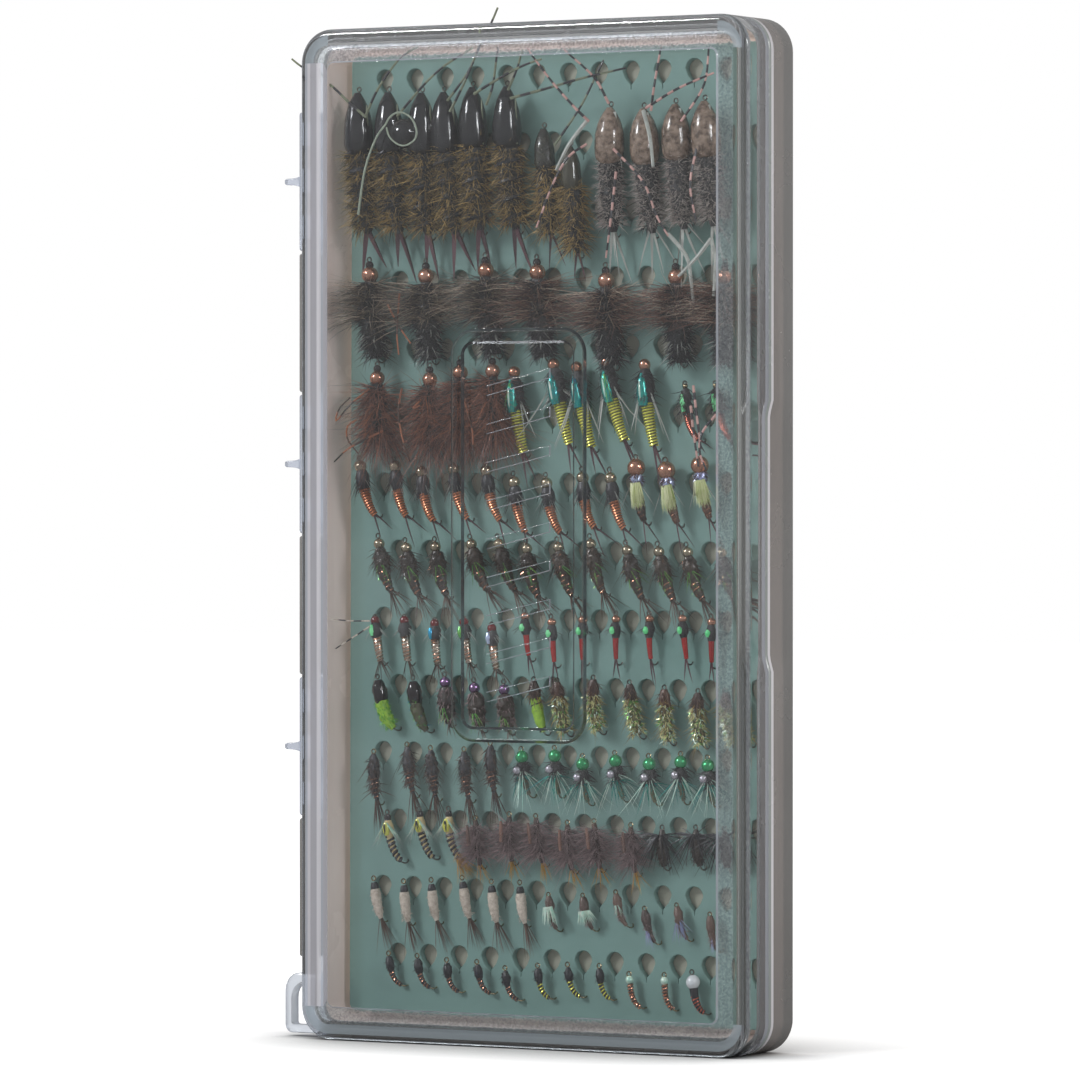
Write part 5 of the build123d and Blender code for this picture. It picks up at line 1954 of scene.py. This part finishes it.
    Pattern("black_spiders", 11, ((8.65, -0.4), (9.7, -0.2), (10.6, -0.3)), 6.4, (
        Spun(PEACOCK, ((0, 0.4), (2, 1), (4.5, 1.1), (6.4, 0.5)), lumps=0.12),
        Fibres(THREAD, 0.8, 26, 6.4, 34, 40, 0.12, root=0.8, front=0.9, paired=True),
        Fibres(THREAD, 0.8, 16, 5, 95, 50, 0.12, root=0.6, front=0.9, paired=True),
        Fur(PEACOCK, 0.6, 5.5, 0.8, 90, 1.4, wild=0.7), DARK_HOOK,
    ), tilt=3, curl=5, gap=1.8),
    Pattern("cream_nymphs", 12, (
        (-0.15, 0.9), (0.85, 0.6), (1.75, 1), (2.75, 1.6), (3.7, 1.1), (4.6, 1.1)
    ), 6.9, (
        Spun(THREAD, ((0.3, 0.45), (0.8, 0.72), (1.5, 0.75), (1.8, 0.6)), lumps=0.04),
        Spun(CREAM, ((1.5, 0.78), (2.4, 0.95), (4, 0.9), (6, 0.65), (6.9, 0.35)), lumps=0.07, sides=16),
        Fur(CREAM, 1.8, 6.5, 0.85, 80, 0.5, thick=0.07), Fibres(BROWN, 6.5, 15, 6, 1, 17, 0.085, bow=0.03),
        BRIGHT_HOOK,
    ), tilt=7, curl=8, gap=1.5, scatter=0.7),
    Pattern("flash_midges", 12, (
        (5.55, -0.7), (6.65, -0.6), (7.7, 0.2), (8.6, -2.5), (9.6, -1.7), (10.65, -3.1)
    ), 6, (
        Spun(BROWN, ((0, 0.4), (0.8, 0.8), (2, 0.85), (3.4, 0.6), (6, 0.32)), lumps=0.12),
        Fur(MOUSE_FUR, 0.5, 5, 0.6, 90, 0.8, lay=50, thick=0.05), Hook(0, HOOK_GOLD, eye=0.38),
    ), {
        0: (Fibres(PEARL, 1.8, 34, 2.8, 0, 14, 0.13, root=2.5, front=0.8, bow=0.05),),
        1: (Fibres(PEARL, 2.4, 30, 2.2, 0, 18, 0.13, root=2.5, front=0.8, bow=0.05),),
        2: (Fibres(PEARL, 2, 9, 1.8, 4, 14, 0.08, root=1.2, front=0.8, bow=0.05),),
        3: (Fibres(VIOLET, 3, 14, 3.4, 0, 12, 0.08, root=0.4, front=0.4),),
        4: (Fibres(VIOLET, 2.2, 18, 3.6, 4, 26, 0.08, root=0.6, front=0.4),),
        5: (Fibres(VIOLET, 3.6, 8, 2.6, 0, 8, 0.08, root=0.4, front=0.4),),
    }, tilt=9, curl=28, straight=0.4, gap=1.8, sink=12),
    Pattern("ribbed_midges", 13, (
        (-0.15, -0.2), (0.8, -0.4), (1.75, -0.9), (2.75, -1), (3.65, -1.9), (4.7, -1.2), (5.65, -0.8),
            (6.65, -0.8)
    ), 6.3, (
        Spun(THREAD, ((0.3, 0.35), (0.9, 0.75), (2, 0.8), (2.9, 0.5)), lumps=0.15),
        Fur(THREAD, 0.5, 2.6, 0.7, 36, 0.7, thick=0.07), Spun(THREAD, ((2.4, 0.48), (6.2, 0.36))),
        Hook(-0.1, HOOK_GOLD, eye=0.42),
    ), {
        index: (Wire(COPPER_WIRE if index < 5 else CHARTREUSE_WIRE, 2.7, 6.1, (0.48, 0.34), 5.5, 0.13),)
        for index in range(8)
    }, tilt=6, curl=58, straight=0.35, gap=1.6, sink=16),
    Pattern("copper_midges", 13, ((7.6, -2.2), (8.7, -2.1)), 6, (
        Bead(PEARL, 0.75, 0.6), Spun(THREAD, ((1.2, 0.42), (6, 0.28))),
        Wire(COPPER_WIRE, 1.3, 6, (0.5, 0.34), 9, 0.19), BRIGHT_HOOK,
    ), tilt=4, curl=46, straight=0.35, gap=1.6, sink=16),
    Pattern("white_bead_midge", 13, ((9.6, -2.5),), 6.3, (
        Bead(WHITE_BEAD, 1.3, 0.2), Spun(THREAD, ((1.2, 0.8), (2.6, 0.7), (6.2, 0.38))),
        Wire(RED_WIRE, 2.7, 6.1, (0.68, 0.4), 6, 0.15), Hook(1.2),
    ), tilt=4, curl=46, straight=0.35, gap=1.6, sink=16),
)


# Studio


def straight_way(graph: Graph, path: bpy.types.bpy_prop_collection) -> Socket:
    """Is 1 for camera rays, and for those that came through clear pieces with no mirroring."""
    clear = graph.math("MAXIMUM", path["Is Camera Ray"], path["Is Transmission Ray"])
    return graph.math("MULTIPLY", clear, graph.math("LESS_THAN", path["Glossy Depth"], 0.5))


@dataclass
class Studio:
    """The floor, soft light and white surround."""

    floor_size: float = 6.0
    floor_glow: float = 0.48
    floor_white: float = 0.97
    floor_mirrored: float = 0.3
    floor_roughness: float = 0.9
    painted_shadow_reach: float = 0.035
    painted_shadow_power: float = 2.5
    surround_strength: float = 0.56
    mirrored_strength: float = 0.34
    light_size: float = 0.36
    key_energy: float = 15.0
    key_place: Point = (-0.84, -1.15, 0.84)
    fill_energy: float = 6.0
    fill_place: Point = (1.38, -0.52, 0.62)
    target: Point = (0.0, 0.0, 0.09)

    def floor_material(self) -> bpy.types.Material:
        """Makes a pale floor that shows white to the camera and keeps the shadow, darkened near the case by
        an ambient occlusion node as a painted contact shadow.

        Returns:
            The material.
        """
        graph = MaterialGraph("pale_floor")
        path = graph.add("LightPath").outputs
        pale, mirrored = (self.floor_white,) * 3, (self.floor_mirrored,) * 3
        shade = graph.mixed("RGBA", path["Is Glossy Ray"], pale, mirrored)
        # Painted contact shadow: the floor's colour and glow darken with ambient occlusion near the case.
        near = graph.add("AmbientOcclusion", Distance=self.painted_shadow_reach, Color=shade).outputs
        graph.shade(Base_Color=near["Color"], Roughness=self.floor_roughness, Specular_IOR_Level=0.0)
        shadow = graph.math("POWER", near["AO"], self.painted_shadow_power)
        seen = graph.math("MULTIPLY", straight_way(graph, path), shadow)
        glow = graph.add("Emission", Color=WHITE, Strength=graph.math("MULTIPLY", seen, self.floor_glow))
        graph.finish("AddShader", "Material Output", graph.shader.outputs[0], glow.outputs[0])
        return graph.material

    def build_floor(self) -> None:
        """Lays a plain square floor."""
        half = self.floor_size / 2
        mesh = bpy.data.meshes.new("floor")
        corners = [(-half, -half, 0), (half, -half, 0), (half, half, 0), (-half, half, 0)]
        mesh.from_pydata(corners, [], [(0, 1, 2, 3)])
        mesh.materials.append(self.floor_material())
        place_object("floor", mesh)

    def build_world(self) -> None:
        """Makes a plain surround that lights evenly and is white to the camera."""
        world = bpy.data.worlds.new("surround")
        bpy.context.scene.world = world
        world.use_nodes = True
        graph = Graph(world.node_tree)
        path = graph.add("LightPath").outputs
        mirrored = graph.math("GREATER_THAN", path["Glossy Depth"], 0.5)
        strength = graph.mixed("FLOAT", mirrored, self.surround_strength, self.mirrored_strength)
        lit = graph.feed(world.node_tree.nodes["Background"], Color=WHITE, Strength=strength)
        seen = graph.add("Background", Color=WHITE, Strength=1.0)
        direct = straight_way(graph, path)
        graph.finish("MixShader", "World Output", direct, lit.outputs[0], seen.outputs[0])

    def area_light(self, name: str, energy: float, place: Point) -> None:
        """Adds a soft square light that faces the case.

        Args:
            name: The light's name.
            energy: Its power, in watts.
            place: Where it stands, in metres.
        """
        data = bpy.data.lights.new(name, "AREA")
        data.energy = energy
        data.size = self.light_size
        lamp = place_object(name, data)
        lamp.location = place
        lamp.rotation_euler = (Vector(self.target) - Vector(place)).to_track_quat("-Z", "Y").to_euler()

    def build(self) -> None:
        """Builds the whole studio."""
        self.build_floor()
        self.build_world()
        self.area_light("key_light", self.key_energy, self.key_place)
        self.area_light("fill_light", self.fill_energy, self.fill_place)


@dataclass
class Viewpoint:
    """The camera, at the height of the case's middle and off to its opening side."""

    turn: float = 30.2
    pitch: float = -0.373
    distance: float = 1.2015
    height: float = 0.097
    lens: float = 227.4
    sensor: float = 36.0
    nearest: float = 0.05
    aim: float = 0.027

    def build(self) -> None:
        """Creates the camera and makes it the scene's own."""
        data = bpy.data.cameras.new("viewpoint")
        data.lens = self.lens
        data.sensor_width = self.sensor
        data.clip_start = self.nearest
        camera = place_object("viewpoint", data)
        turn = radians(self.turn)
        camera.location = (self.distance * sin(turn), -self.distance * cos(turn), self.height)
        camera.rotation_euler = (radians(90 + self.pitch), 0, turn + radians(self.aim))
        bpy.context.scene.camera = camera


def main() -> None:
    """Builds the camera, the studio and every piece, in order."""
    logging.basicConfig(level=logging.INFO, format="%(name)s: %(message)s")
    bpy.context.scene.view_settings.view_transform = "Standard"
    Viewpoint().build()
    Studio().build()
    TrayShell().build()
    mat = SlitMat()
    mat.build()
    for pattern in PATTERNS:
        pattern.build(mat)
    LidShell().build()
    Hinge().build()
    LanyardEye().build()


if __name__ == "__main__":
    main()
